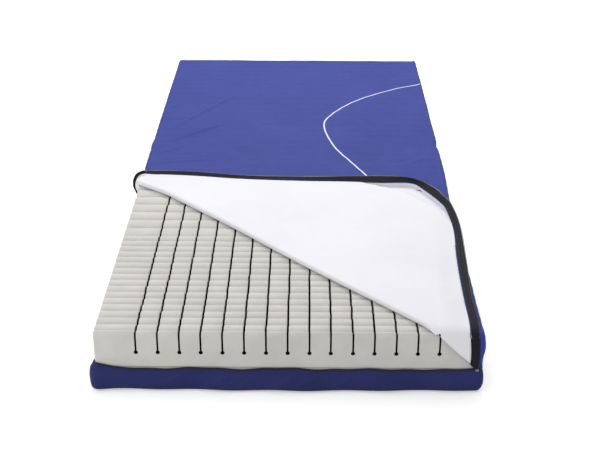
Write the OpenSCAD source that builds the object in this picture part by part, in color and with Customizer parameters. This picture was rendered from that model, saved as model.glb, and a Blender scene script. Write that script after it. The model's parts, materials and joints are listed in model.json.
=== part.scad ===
// Pressure relief mattress for a profiling bed: a two-layer foam core in a zipped cover.
// Units are millimetres. +Z is up, +Y runs from the foot end to the head end, and the
// origin is at the middle of the underside. The corner of the top cover at the foot end
// on the -X side is unzipped and folded back over the mattress.
//
// The mattress bends across two lines, so every full-length layer is cut there into a
// leg, a seat and a back section. The folded corner is five panels: the flap, the two wall
// panels along its edges and the two gussets at the ends of its fold.

/* [Mattress] */
// Overall width of the cover
mattress_w = 880; // [820:10:920]
// Overall length of the cover
mattress_l = 1970; // [1950:10:2000]
// Height of the closed cover
mattress_h = 152; // [140:1:170]
// Body grooves in front of the seat section
seat_from = 11; // [10:1:12]
// Body cells in the length of the seat section
seat_cells = 4; // [3:1:6]

/* [Foam] */
// Thickness of the firm lower layer
base_foam_h = 60; // [50:1:62]
// Lengthwise slits in the cell layer
slit_count = 15; // [9:2:17]
// Distance between neighbouring slits
slit_pitch = 48.7; // [40:0.1:50]
// Width of a slit
slit_w = 2.4; // [1.5:0.1:4]
// Radius of the keyhole that ends each slit
keyhole_r = 4; // [2.5:0.1:6]
// Depth of the keyhole centre below the top of the foam
keyhole_depth = 52; // [35:1:60]
// Length of a heel cell
heel_pitch = 30; // [28:1:35]
// Number of heel cells
heel_cells = 16; // [15:1:18]
// Length of a body cell
body_pitch = 49; // [45:1:52]
// Length of the solid lip at the foot end
foot_lip = 14; // [12:1:30]
// Height of a cell's rounded crown
crown_h = 7; // [3:0.5:10]
// Width of the cut between two cells
cell_cut_w = 1.6; // [1:0.1:3]
// Depth of the cut between two cells
cell_cut_depth = 45; // [20:1:60]

/* [Cover] */
// Thickness of the cover fabric
fabric_t = 1; // [0.6:0.1:1.2]
// Height of the lower cover's walls
base_wall_h = 56; // [50:1:60]
// Distance from the foot corner to the fold, along the side
fold_reach_side = 820; // [700:10:850]
// Distance from the foot corner to the fold, along the foot end
fold_reach_foot = 776; // [700:2:780]
// Height of the roll at the fold
fold_roll = 12; // [8:1:16]

/* [Zip] */
// Width of one zip tape
tape_w = 16; // [12:1:20]
// Thickness of a zip tape
tape_t = 0.8; // [0.5:0.1:1]
// Height of one row of zip teeth
teeth_h = 2.3; // [1.8:0.1:2.4]
// Length of the slider
slider_l = 26; // [20:1:28]
// Length of the pull tab
tab_l = 34; // [26:1:45]

/* [Hidden] */

cover_blue = [0.27, 0.32, 0.62];
base_navy = [0.15, 0.16, 0.36];
lining_white = [0.93, 0.93, 0.95];
foam_grey = [0.80, 0.78, 0.75];
firm_foam_grey = [0.66, 0.67, 0.70];
zip_black = [0.07, 0.07, 0.08];
slider_metal = [0.55, 0.55, 0.57];

// Half sizes of the cover, and the planes that its outer faces lie on
side = mattress_w / 2;
end = mattress_l / 2;
top = mattress_h;

// Room left for the tape and the slider between the wall and the foam
foam_room = 4;
foam_side = side - foam_room;
foam_end = end - foam_room;
foam_floor = fabric_t + 0.5;
foam_top = top - fabric_t - 0.5;
glue_line = 0.2;
cell_floor = foam_floor + base_foam_h + glue_line;

// Grooves between cells, from the foot end to the head end
first_groove = -foam_end + foot_lip;
heel_grooves = [for (i = [0:heel_cells]) first_groove + i * heel_pitch];
body_start = first_groove + heel_cells * heel_pitch;
min_last_cell = 30;
body_count = floor((foam_end - min_last_cell - body_start) / body_pitch);
body_grooves = [for (i = [1:body_count]) body_start + i * body_pitch];
grooves = concat(heel_grooves, body_grooves);
cell_edges = concat([-foam_end], grooves, [foam_end]);

// Bend lines, on grooves of the cell layer
leg_line = body_start + seat_from * body_pitch;
back_line = body_start + (seat_from + seat_cells) * body_pitch;
section_gap = 1;

// Zip: the two rows of teeth meet at zip_z, and the slider's bridge runs between them
zip_z = 60;
bridge_t = 1;
bridge_clear = 0.2;
teeth_from_zip = bridge_t / 2 + bridge_clear;
tape_from_zip = teeth_from_zip + 0.1;
lid_edge_z = zip_z + 4;
teeth_in = 1;
teeth_out = 0.8;
corner_clear = fabric_t + 0.5;

// Fold: a line across the top from [-side, fold_y] to [fold_x, -end]. Its axis is halfway up
// the roll. It runs on down the walls at the same slope, as it would on the unfolded sheet.
// Panels that meet edge to edge keep panel_gap between them.
fold_y = -end + fold_reach_side;
fold_x = -side + fold_reach_foot;
fold_l = norm([fold_reach_foot, fold_reach_side]);
fold_axis_z = top + fold_roll / 2;
fold_heading = atan2(-fold_reach_side, fold_reach_foot);
fold_edge_clear = 0.5;
clear_x = fold_edge_clear * fold_l / fold_reach_side;
clear_y = fold_edge_clear * fold_l / fold_reach_foot;
panel_w = top - lid_edge_z;
panel_gap = 0.1;
layer_clear = 1;
gusset_offset = fabric_t + layer_clear;
side_gusset_l = panel_w * fold_reach_side / fold_reach_foot;
foot_gusset_l = panel_w * fold_reach_foot / fold_reach_side;

// Ends of the open length of the zip, and the slider where it begins
zip_open_y = fold_y + side_gusset_l;
zip_end_x = fold_x + foot_gusset_l;
slider_front_y = zip_open_y - 10;
slider_w = 11;
plate_t = 1.1;
slider_clear = 0.3;
gusset_trim_y = slider_front_y - 7;
small_fn = 48;

// A box given by two opposite corners
module block(low, high) {
    translate(low) cube(high - low);
}

// A polygon in the plane x = x_low, given as [y, z] points, thickened towards +X
module side_plate(x_low, thickness, points) {
    translate([x_low, 0, 0])
        rotate([90, 0, 90])
            linear_extrude(thickness) polygon(points);
}

// A polygon in the plane y = y_low, given as [x, z] points, thickened towards +Y
module end_plate(y_low, thickness, points) {
    translate([0, y_low + thickness, 0])
        rotate([90, 0, 0])
            linear_extrude(thickness) polygon(points);
}

// A band that lines the inside of the walls, from inset to inset + thickness behind the
// outer faces. It follows both sides from y_low to y_high, and closes an end that it reaches.
module wall_band(y_low, y_high, z_low, z_high, inset, thickness) {
    outer = side - inset;
    inner = outer - thickness;
    at_foot = y_low <= -end;
    at_head = y_high >= end;
    low = at_foot ? -end + inset : y_low;
    high = at_head ? end - inset : y_high;
    difference() {
        block([-outer, low, z_low], [outer, high, z_high]);
        block([-inner, at_foot ? low + thickness : low - 1, z_low - 1],
              [inner, at_head ? high - thickness : high + 1, z_high + 1]);
    }
}

// ---- Foam core ----

module base_foam(y_low, y_high) {
    color(firm_foam_grey)
        block([-foam_side, y_low, foam_floor], [foam_side, y_high, foam_floor + base_foam_h]);
}

// Outline of one cell in the Y-Z plane: straight flanks under a crown that is a circular arc,
// set in a little from the flanks
module cell_outline(y_low, y_high) {
    ledge = 0.3;
    chord = y_high - y_low;
    rise = min(crown_h, chord / 3);
    radius = (chord * chord / 4 + rise * rise) / (2 * rise);
    translate([y_low, foam_top - cell_cut_depth - 1]) square([chord, cell_cut_depth + 1 - rise]);
    intersection() {
        translate([y_low + ledge, foam_top - rise - 1]) square([chord - 2 * ledge, rise + 2]);
        translate([(y_low + y_high) / 2, foam_top - radius]) circle(radius, $fn = 96);
    }
}

// Cell layer: a solid floor, and the cells that stand on it between y_low and y_high
module cell_profile(y_low, y_high) {
    translate([y_low, cell_floor])
        square([y_high - y_low, foam_top - cell_cut_depth - cell_floor]);
    for (i = [0:len(cell_edges) - 2]) {
        from = cell_edges[i] + (i == 0 ? 0 : cell_cut_w / 2);
        to = cell_edges[i + 1] - (i == len(cell_edges) - 2 ? 0 : cell_cut_w / 2);
        if (from >= y_low - cell_cut_w && to <= y_high + cell_cut_w)
            cell_outline(from, to);
    }
}

// A lengthwise slit that ends in a keyhole
module keyhole_slit(x, y_low, y_high) {
    keyhole_z = foam_top - keyhole_depth;
    block([x - slit_w / 2, y_low - 1, keyhole_z], [x + slit_w / 2, y_high + 1, foam_top + 1]);
    translate([x, y_high + 1, keyhole_z])
        rotate([90, 0, 0]) cylinder(h = y_high - y_low + 2, r = keyhole_r, $fn = small_fn);
}

module cell_foam(y_low, y_high) {
    color(foam_grey)
        difference() {
            translate([-foam_side, 0, 0])
                rotate([90, 0, 90])
                    linear_extrude(2 * foam_side) cell_profile(y_low, y_high);
            for (i = [0:slit_count - 1])
                keyhole_slit((i - (slit_count - 1) / 2) * slit_pitch, y_low, y_high);
        }
}

// ---- Cover ----

// Lower cover: the floor and the low walls
module base_cover(y_low, y_high) {
    color(base_navy) {
        block([-side, y_low, 0], [side, y_high, fabric_t]);
        wall_band(y_low, y_high, 0, base_wall_h, 0, fabric_t);
    }
}

// Upper cover: the sheet and the walls that hang from it
module top_cover(y_low, y_high) {
    color(cover_blue) {
        block([-side, y_low, top - fabric_t], [side, y_high, top]);
        wall_band(y_low, y_high, lid_edge_z, top, 0, fabric_t);
    }
}

// Leg section of the upper cover, up to the fold
module leg_top_cover(y_high) {
    color(cover_blue) {
        translate([0, 0, top - fabric_t])
            linear_extrude(fabric_t)
                polygon([[fold_x + clear_x, -end], [side, -end], [side, y_high],
                         [-side, y_high], [-side, fold_y + clear_y]]);
        side_plate(side - fabric_t, fabric_t,
            [[-end, lid_edge_z], [y_high, lid_edge_z], [y_high, top], [-end, top]]);
        side_plate(-side, fabric_t,
            [[fold_y + clear_y, top], [zip_open_y + clear_y, lid_edge_z],
             [y_high, lid_edge_z], [y_high, top]]);
        end_plate(-end, fabric_t,
            [[fold_x + clear_x, top], [zip_end_x + clear_x, lid_edge_z],
             [side, lid_edge_z], [side, top]]);
    }
}

// ---- Zip around the walls ----

module lower_zip_tape(y_low, y_high) {
    color(zip_black)
        wall_band(y_low, y_high, zip_z - tape_from_zip - tape_w, zip_z - tape_from_zip,
                  fabric_t, tape_t);
}

module upper_zip_tape(y_low, y_high) {
    color(zip_black)
        wall_band(y_low, y_high, zip_z + tape_from_zip, zip_z + tape_from_zip + tape_w,
                  fabric_t, tape_t);
}

module lower_zip_teeth(y_low, y_high) {
    color(zip_black)
        wall_band(y_low, y_high, zip_z - teeth_from_zip - teeth_h, zip_z - teeth_from_zip,
                  -teeth_out, teeth_in + teeth_out);
}

module upper_zip_teeth(y_low, y_high) {
    color(zip_black)
        wall_band(y_low, y_high, zip_z + teeth_from_zip, zip_z + teeth_from_zip + teeth_h,
                  -teeth_out, teeth_in + teeth_out);
}

// On the leg section the upper half of the zip is missing where the corner is open: from the
// slider on the -X side, round the foot corner, to the end stop on the foot end
module open_zip_removed() {
    difference() {
        children();
        block([-side - 5, -end - 5, 0], [zip_end_x, zip_open_y, top]);
    }
}

module leg_upper_zip_tape(y_high) {
    open_zip_removed() upper_zip_tape(-end, y_high);
}

module leg_upper_zip_teeth(y_high) {
    open_zip_removed() upper_zip_teeth(-end, y_high);
}

// Clip over both rows of teeth on the foot end, where the open length stops
module zip_end_stop() {
    stop_l = 7;
    clip_t = 0.9;
    clip_z = teeth_from_zip + teeth_h + 0.4;
    x = zip_end_x + 4;
    y = -end - teeth_out - 0.2;
    color(slider_metal) {
        block([x, y - clip_t, zip_z - clip_z], [x + stop_l, y, zip_z + clip_z]);
        block([x + 1, y - 0.2, zip_z - bridge_t / 2], [x + stop_l - 1, -end + 1, zip_z + bridge_t / 2]);
    }
}

// ---- Folded corner ----
// Each panel is given in the closed cover, with the walls of the flap opened out flat, and is
// then turned half a turn about its fold.

module turned_over_fold() {
    pivot = [-side, fold_y, fold_axis_z];
    translate(pivot)
        rotate([0, 0, fold_heading]) rotate([180, 0, 0]) rotate([0, 0, -fold_heading])
            translate(-pivot) children();
}

module turned_over_side_crease() {
    pivot = [-side - gusset_offset / 2 + fabric_t / 2, fold_y, top];
    heading = atan2(-fold_reach_foot, fold_reach_side);
    translate(pivot)
        rotate([heading, 0, 0]) rotate([0, 180, 0]) rotate([-heading, 0, 0])
            translate(-pivot) children();
}

module turned_over_foot_crease() {
    pivot = [fold_x, -end - gusset_offset / 2 + fabric_t / 2, top];
    heading = atan2(fold_reach_side, fold_reach_foot);
    translate(pivot)
        rotate([0, heading, 0]) rotate([180, 0, 0]) rotate([0, -heading, 0])
            translate(-pivot) children();
}

// Distances from the top edge down the wall to the hem end of the tape and of the teeth, and
// to the upper edge of a panel
tape_edge = top - zip_z - tape_from_zip;
teeth_edge = top - zip_z - teeth_from_zip;
panel_near = fabric_t + panel_gap;

module flap_sheet() {
    color(lining_white)
        turned_over_fold()
            translate([0, 0, top - fabric_t])
                linear_extrude(fabric_t)
                    polygon([[-side, -end], [fold_x - clear_x, -end], [-side, fold_y - clear_y]]);
}

// Part of the wall on the -X side, at [near, far] from the top edge and [low, high] below the
// outer face
module flap_side_strip(near, far, low, high, foot_gap) {
    turned_over_fold()
        block([-side - far, -end + foot_gap, top - high],
              [-side - near, fold_y - panel_gap, top - low]);
}

// The same for the wall at the foot end
module flap_end_strip(near, far, low, high, side_gap) {
    turned_over_fold()
        block([-side + side_gap, -end - far, top - high],
              [fold_x - panel_gap, -end - near, top - low]);
}

module flap_side_panel() {
    color(lining_white) flap_side_strip(panel_near, panel_w, 0, fabric_t, 0);
}

module flap_side_zip_tape() {
    color(zip_black)
        flap_side_strip(tape_edge - tape_w, tape_edge, fabric_t, fabric_t + tape_t,
                        fabric_t + tape_t);
}

module flap_side_zip_teeth() {
    color(zip_black)
        flap_side_strip(teeth_edge - teeth_h, teeth_edge, -teeth_out, teeth_in, teeth_in);
}

module flap_end_panel() {
    color(lining_white) flap_end_strip(panel_near, panel_w, 0, fabric_t, corner_clear);
}

module flap_end_zip_tape() {
    color(zip_black)
        flap_end_strip(tape_edge - tape_w, tape_edge, fabric_t, fabric_t + tape_t,
                       corner_clear + tape_t);
}

module flap_end_zip_teeth() {
    color(zip_black)
        flap_end_strip(teeth_edge - teeth_h, teeth_edge, -teeth_out, teeth_in, corner_clear);
}

// Gussets: the pieces of wall below the ends of the fold
gusset_clear = 1;

module side_gusset() {
    crease_z = top - (gusset_trim_y - fold_y) * fold_reach_foot / fold_reach_side;
    color(lining_white)
        turned_over_side_crease()
            side_plate(-side, fabric_t,
                [[fold_y, top - gusset_clear], [fold_y, lid_edge_z], [gusset_trim_y, lid_edge_z],
                 [gusset_trim_y, crease_z - gusset_clear]]);
}

// Strip along the zip edge of the side gusset, from z_low to z_high when closed
module side_gusset_strip(x_low, thickness, z_low, z_high) {
    turned_over_side_crease()
        block([x_low, fold_y, z_low], [x_low + thickness, gusset_trim_y, z_high]);
}

module side_gusset_zip_tape() {
    z = zip_z + tape_from_zip;
    color(zip_black) side_gusset_strip(-side + fabric_t, tape_t, z, z + tape_w);
}

module side_gusset_zip_teeth() {
    z = zip_z + teeth_from_zip;
    color(zip_black) side_gusset_strip(-side - teeth_out, teeth_in + teeth_out, z, z + teeth_h);
}

foot_gusset_trim_x = zip_end_x - 3;

module corner_gusset() {
    crease_z = top - (foot_gusset_trim_x - fold_x) * fold_reach_side / fold_reach_foot;
    color(lining_white)
        turned_over_foot_crease()
            end_plate(-end, fabric_t,
                [[fold_x, top - gusset_clear], [fold_x, lid_edge_z], [foot_gusset_trim_x, lid_edge_z],
                 [foot_gusset_trim_x, crease_z - gusset_clear]]);
}

// Strip along the zip edge of the corner gusset, from z_low to z_high when closed. Its upper
// corner is cut off along the crease.
module corner_gusset_strip(y_low, thickness, z_low, z_high) {
    crease_x = fold_x + (top - z_high) * fold_reach_foot / fold_reach_side - gusset_clear;
    turned_over_foot_crease()
        end_plate(y_low, thickness,
            [[fold_x, z_low], [foot_gusset_trim_x, z_low],
             [min(crease_x, foot_gusset_trim_x), z_high], [fold_x, z_high]]);
}

module corner_gusset_zip_tape() {
    z = zip_z + tape_from_zip;
    color(zip_black) corner_gusset_strip(-end + fabric_t, tape_t, z, z + tape_w);
}

module corner_gusset_zip_teeth() {
    z = zip_z + teeth_from_zip;
    color(zip_black) corner_gusset_strip(-end - teeth_out, teeth_in + teeth_out, z, z + teeth_h);
}

// ---- Slider ----

slider_mid_y = slider_front_y + slider_l / 2;
outer_plate_x = -side - teeth_out - slider_clear - plate_t;
inner_plate_x = -side + fabric_t + tape_t + slider_clear;
pin_r = 0.8;
pin_clear = 0.06;
pin_x = outer_plate_x - 1.9;
lug_gap = 4.6;
lug_t = 1.2;

// Round-ended plate of the slider, seen along X
module slider_plate(x_low, thickness) {
    r = slider_w / 2;
    translate([x_low, 0, 0])
        rotate([90, 0, 90])
            linear_extrude(thickness) {
                translate([slider_front_y + r, zip_z]) circle(r, $fn = small_fn);
                translate([slider_front_y + r, zip_z - r]) square([slider_l - r, slider_w]);
            }
}

// Two plates joined by a bridge, with two lugs and a pin that carry the pull tab
module zip_slider() {
    color(slider_metal) {
        slider_plate(outer_plate_x, plate_t);
        slider_plate(inner_plate_x, 1);
        block([outer_plate_x + 0.5, slider_front_y + 2, zip_z - bridge_t / 2],
              [inner_plate_x + 0.5, slider_front_y + 8, zip_z + bridge_t / 2]);
        for (s = [-1, 1]) {
            z = zip_z + s * (lug_gap + lug_t) / 2;
            block([pin_x, slider_mid_y - 2, z - lug_t / 2],
                  [outer_plate_x + 0.5, slider_mid_y + 2, z + lug_t / 2]);
            translate([pin_x, slider_mid_y, z - lug_t / 2])
                cylinder(h = lug_t, r = 2, $fn = small_fn);
        }
        translate([pin_x, slider_mid_y, zip_z - lug_gap / 2 - lug_t / 2])
            cylinder(h = lug_gap + lug_t, r = pin_r, $fn = small_fn);
    }
}

// Pull tab: a barrel on the pin, a neck and a paddle with a finger hole
module zip_pull_tab() {
    barrel_r = 1.7;
    barrel_h = lug_gap - 0.6;
    neck_l = 14;
    paddle_t = 1.4;
    paddle_w = 9;
    finger_hole_r = 2.6;
    paddle_y = slider_mid_y + neck_l;
    paddle_end = slider_mid_y + tab_l - paddle_w / 2;
    color(slider_metal)
        difference() {
            union() {
                translate([pin_x, slider_mid_y, zip_z - barrel_h / 2])
                    cylinder(h = barrel_h, r = barrel_r, $fn = small_fn);
                block([pin_x - paddle_t / 2, slider_mid_y, zip_z - barrel_h / 2],
                      [pin_x + paddle_t / 2, paddle_y + 2, zip_z + barrel_h / 2]);
                translate([pin_x - paddle_t / 2, 0, 0])
                    rotate([90, 0, 90])
                        linear_extrude(paddle_t) {
                            translate([paddle_end, zip_z]) circle(paddle_w / 2, $fn = small_fn);
                            translate([paddle_y, zip_z - paddle_w / 2])
                                square([paddle_end - paddle_y, paddle_w]);
                        }
            }
            translate([pin_x, slider_mid_y, zip_z - barrel_h])
                cylinder(h = 2 * barrel_h, r = pin_r + pin_clear, $fn = small_fn);
            translate([pin_x - paddle_t, paddle_end - 1, zip_z])
                rotate([0, 90, 0]) cylinder(h = 2 * paddle_t, r = finger_hole_r, $fn = small_fn);
        }
}

// ---- Sections between the bend lines ----

leg_to = leg_line - section_gap / 2;
seat_low = leg_line + section_gap / 2;
seat_to = back_line - section_gap / 2;
back_low = back_line + section_gap / 2;

base_foam(-foam_end, leg_to);  // leg_base_foam
base_foam(seat_low, seat_to);  // seat_base_foam
base_foam(back_low, foam_end);  // back_base_foam
cell_foam(-foam_end, leg_to);  // leg_cell_foam
cell_foam(seat_low, seat_to);  // seat_cell_foam
cell_foam(back_low, foam_end);  // back_cell_foam
base_cover(-end, leg_to);  // leg_base_cover
base_cover(seat_low, seat_to);  // seat_base_cover
base_cover(back_low, end);  // back_base_cover
leg_top_cover(leg_to);
top_cover(seat_low, seat_to);  // seat_top_cover
top_cover(back_low, end);  // back_top_cover
lower_zip_tape(-end, leg_to);  // leg_lower_zip_tape
lower_zip_tape(seat_low, seat_to);  // seat_lower_zip_tape
lower_zip_tape(back_low, end);  // back_lower_zip_tape
lower_zip_teeth(-end, leg_to);  // leg_lower_zip_teeth
lower_zip_teeth(seat_low, seat_to);  // seat_lower_zip_teeth
lower_zip_teeth(back_low, end);  // back_lower_zip_teeth
leg_upper_zip_tape(leg_to);
upper_zip_tape(seat_low, seat_to);  // seat_upper_zip_tape
upper_zip_tape(back_low, end);  // back_upper_zip_tape
leg_upper_zip_teeth(leg_to);
upper_zip_teeth(seat_low, seat_to);  // seat_upper_zip_teeth
upper_zip_teeth(back_low, end);  // back_upper_zip_teeth
flap_sheet();
flap_side_panel();
flap_side_zip_tape();
flap_side_zip_teeth();
flap_end_panel();
flap_end_zip_tape();
flap_end_zip_teeth();
side_gusset();
side_gusset_zip_tape();
side_gusset_zip_teeth();
corner_gusset();
corner_gusset_zip_tape();
corner_gusset_zip_teeth();
zip_slider();
zip_pull_tab();
zip_end_stop();
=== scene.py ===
"""A pressure relief mattress with one corner of its cover unzipped and folded back.

Lengths are metres in the frame's axes: +X right, +Y towards the head end, +Z up. Every place is
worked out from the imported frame. Points are numpy arrays with one row for each point.
"""
import json
import math

import bmesh
import bpy
import numpy as np
from mathutils import Matrix, Vector


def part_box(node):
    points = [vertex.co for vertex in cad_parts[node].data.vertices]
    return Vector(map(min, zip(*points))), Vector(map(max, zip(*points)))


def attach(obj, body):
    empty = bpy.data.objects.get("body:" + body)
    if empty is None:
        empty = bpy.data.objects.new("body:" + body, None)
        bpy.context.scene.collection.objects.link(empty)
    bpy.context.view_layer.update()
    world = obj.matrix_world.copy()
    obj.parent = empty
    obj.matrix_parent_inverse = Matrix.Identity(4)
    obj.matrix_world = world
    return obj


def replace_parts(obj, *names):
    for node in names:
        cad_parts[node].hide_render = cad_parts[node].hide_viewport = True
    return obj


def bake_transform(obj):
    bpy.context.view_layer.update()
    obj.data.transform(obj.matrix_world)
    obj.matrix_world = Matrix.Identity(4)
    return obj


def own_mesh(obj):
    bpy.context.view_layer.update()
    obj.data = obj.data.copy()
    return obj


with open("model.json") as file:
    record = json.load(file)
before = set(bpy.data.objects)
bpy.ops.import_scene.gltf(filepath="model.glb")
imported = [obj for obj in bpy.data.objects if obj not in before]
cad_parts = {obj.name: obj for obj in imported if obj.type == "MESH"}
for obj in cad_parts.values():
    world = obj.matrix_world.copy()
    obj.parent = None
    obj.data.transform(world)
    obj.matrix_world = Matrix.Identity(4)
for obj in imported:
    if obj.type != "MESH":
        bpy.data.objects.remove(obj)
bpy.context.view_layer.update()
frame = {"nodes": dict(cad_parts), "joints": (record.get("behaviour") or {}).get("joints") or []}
MM = 0.001

# ---- Sizes and places, from the frame ----

joints = {j["name"]: j for j in frame["joints"]}
cover_low, cover_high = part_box("leg_top_cover")
SIDE, END, TOP, LID_EDGE = cover_high.x, -cover_low.y, cover_high.z, cover_low.z
BASE_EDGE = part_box("leg_base_cover")[1].z
ZIP_Z = (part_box("leg_lower_zip_teeth")[1].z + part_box("leg_upper_zip_teeth")[0].z) / 2
WALL = TOP - LID_EDGE
foam_low, foam_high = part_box("leg_cell_foam")
FOAM_SIDE, FOAM_END = foam_high.x, -foam_low.y
FOAM_FLOOR, FOAM_TOP = foam_low.z, foam_high.z

LEG_LINE = joints["leg_raise"]["pos_m"][1]
BACK_LINE = joints["back_raise"]["pos_m"][1]
SPLIT = (LEG_LINE + BACK_LINE) / 2

FOLD_DIR = np.array(joints["flap_fold"]["axis"])
FOLD_OUT = np.array([-FOLD_DIR[1], FOLD_DIR[0], 0])
FOLD_MID = np.array(joints["flap_fold"]["pos_m"])
FOLD_START = FOLD_MID + FOLD_DIR * (-SIDE - FOLD_MID[0]) / FOLD_DIR[0]
FOLD_STOP = FOLD_MID + FOLD_DIR * (-END - FOLD_MID[1]) / FOLD_DIR[1]
FOLD_LENGTH = float(np.linalg.norm(FOLD_STOP - FOLD_START))
SIDE_CREASE = np.array(joints["side_wall_fold"]["axis"])
END_CREASE = np.array(joints["end_wall_fold"]["axis"])
FLAP_Z = joints["side_wall_fold"]["pos_m"][2]

FABRIC = 0.9 * MM
TAPE = 0.7 * MM
EDGE_R = 11 * MM
TAPE_W = 18 * MM
OPEN_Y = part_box("zip_slider")[0].y + 10 * MM
STOP_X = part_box("zip_end_stop")[0].x


def flat_cross(a, b):
    """Z part of the cross product of two vectors."""
    return a[0] * b[1] - a[1] * b[0]


def meeting_point(p, p_dir, q, q_dir):
    """Where two lines cross, seen from above."""
    return p + p_dir * flat_cross(q - p, q_dir) / flat_cross(p_dir, q_dir)


CORNER = meeting_point(FOLD_START, SIDE_CREASE, FOLD_STOP, END_CREASE)
SIDE_CREASE_L = float(np.linalg.norm(CORNER - FOLD_START))
END_CREASE_L = float(np.linalg.norm(CORNER - FOLD_STOP))
CORNER_V = float((CORNER - FOLD_START) @ FOLD_OUT)


# ---- Shape helpers ----

def smooth(t):
    """0 below 0, 1 above 1, and a soft step between."""
    t = np.clip(t, 0, 1)
    return t * t * (3 - 2 * t)


def hump(t):
    """A bell shape that is 1 at 0."""
    return np.exp(-np.square(t))


def waves(points, size, count, seed):
    """Soft random waves between about -1 and 1, about size long."""
    rng = np.random.default_rng(seed)
    total = np.zeros(len(points))
    for _ in range(count):
        direction = rng.normal(size=3)
        direction *= rng.uniform(0.7, 1.4) * 2 * math.pi / size / np.linalg.norm(direction)
        total += np.sin(points @ direction + rng.uniform(0, 2 * math.pi))
    return total / math.sqrt(count) / 1.4


def ridge(a, b, start, end, width, height):
    """A soft ridge along the line from start to end, in the plane of the coordinates a and b."""
    run = np.subtract(end, start)
    length = np.linalg.norm(run)
    along = ((a - start[0]) * run[0] + (b - start[1]) * run[1]) / length ** 2
    across = ((a - start[0]) * run[1] - (b - start[1]) * run[0]) / length
    ends = smooth(along / 0.3) * smooth((1 - along) / 0.3)
    return height * ends * hump(across / width)


def curve_through(points, steps):
    """Points on a smooth curve through the given ones, with steps to each stretch."""
    p = np.array(points, float)
    p = np.vstack([2 * p[0] - p[1], p, 2 * p[-1] - p[-2]])
    t = np.linspace(0, 1, steps, endpoint=False)[:, None]
    stretches = []
    for a, b, c, d in zip(p, p[1:], p[2:], p[3:]):
        stretches.append(0.5 * (2 * b + (c - a) * t + (2 * a - 5 * b + 4 * c - d) * t ** 2
                                + (3 * b - a - 3 * c + d) * t ** 3))
    return np.vstack(stretches + [p[-2:-1]])


def resample(line, step):
    """The same line, as points about step apart."""
    reach = np.concatenate([[0], np.cumsum(np.linalg.norm(np.diff(line, axis=0), axis=1))])
    at = np.linspace(0, reach[-1], max(2, int(round(reach[-1] / step)) + 1))
    return np.column_stack([np.interp(at, reach, line[:, k]) for k in range(line.shape[1])])


def tangents(line):
    """Unit direction of the line at each of its points."""
    run = np.gradient(line, axis=0)
    return run / np.linalg.norm(run, axis=1)[:, None]


def unit(vectors):
    """Each row scaled to a length of 1; a row of zeros stays as it is."""
    return vectors / np.maximum(np.linalg.norm(vectors, axis=1), 1e-9)[:, None]


def grid_faces(rows, columns):
    """Quads of a grid whose points are stored row by row."""
    return [(r * columns + c, r * columns + c + 1, (r + 1) * columns + c + 1, (r + 1) * columns + c)
            for r in range(rows - 1) for c in range(columns - 1)]


def make_piece(name, verts, faces, materials, face_materials=None, sharp=50):
    """A mesh object with smooth shading up to the angle sharp, in degrees."""
    mesh = bpy.data.meshes.new(name)
    mesh.from_pydata(np.asarray(verts, float).tolist(), [], faces)
    for m in materials:
        mesh.materials.append(m)
    if face_materials is not None:
        mesh.polygons.foreach_set("material_index", np.asarray(face_materials, np.int32))
    mesh.polygons.foreach_set("use_smooth", np.ones(len(mesh.polygons), bool))
    mesh.set_sharp_from_angle(angle=math.radians(sharp))
    mesh.update()
    obj = bpy.data.objects.new(name, mesh)
    bpy.context.scene.collection.objects.link(obj)
    return obj


def make_sheet(name, verts, faces, thickness, materials):
    """A sheet of fabric. The faces are its front, and it is thickened towards its back.
    Materials are the front's and the back's; the edge takes the front's."""
    verts = np.asarray(verts, float)
    front = bpy.data.meshes.new(name + "_front")
    front.from_pydata(verts.tolist(), [], faces)
    front.update()
    normals = np.zeros(len(verts) * 3, np.float32)
    front.vertex_normals.foreach_get("vector", normals)
    bpy.data.meshes.remove(front)
    back = verts - normals.reshape(-1, 3) * thickness
    count = len(verts)
    edges = set()
    for f in faces:
        edges.update(zip(f, f[1:] + f[:1]))
    rim = [(b, a, a + count, b + count) for a, b in sorted(edges) if (b, a) not in edges]
    back_faces = [tuple(i + count for i in reversed(f)) for f in faces]
    marks = [0] * len(faces) + [1] * len(back_faces) + [0] * len(rim)
    return make_piece(name, np.vstack([verts, back]), faces + back_faces + rim, materials, marks)


def make_grid_sheet(name, rows, thickness, materials, facing=(0, 0, 1)):
    """A sheet through rows of points, each row with the same number of points. Facing is a
    direction, or one for each column, that the front of the sheet looks towards."""
    grid = np.array(rows)
    across = grid[-1] - grid[0]
    along = np.gradient((grid[0] + grid[-1]) / 2, axis=0)
    towards = (np.cross(along, across) * facing).sum()
    faces = grid_faces(len(rows), len(rows[0]))
    if towards < 0:
        faces = [f[::-1] for f in faces]
    return make_sheet(name, grid.reshape(-1, 3), faces, thickness, materials)


def make_repeats(name, template, faces, places, xs, ys, zs, material):
    """One mesh that repeats a small template at each place, turned to the axes given there."""
    template = np.asarray(template, float)
    verts = (places[:, None, :] + template[None, :, 0:1] * xs[:, None, :]
             + template[None, :, 1:2] * ys[:, None, :] + template[None, :, 2:3] * zs[:, None, :])
    count = len(template)
    all_faces = [tuple(i + n * count for i in f) for n in range(len(places)) for f in faces]
    return make_piece(name, verts.reshape(-1, 3), all_faces, [material], sharp=60)


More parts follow.
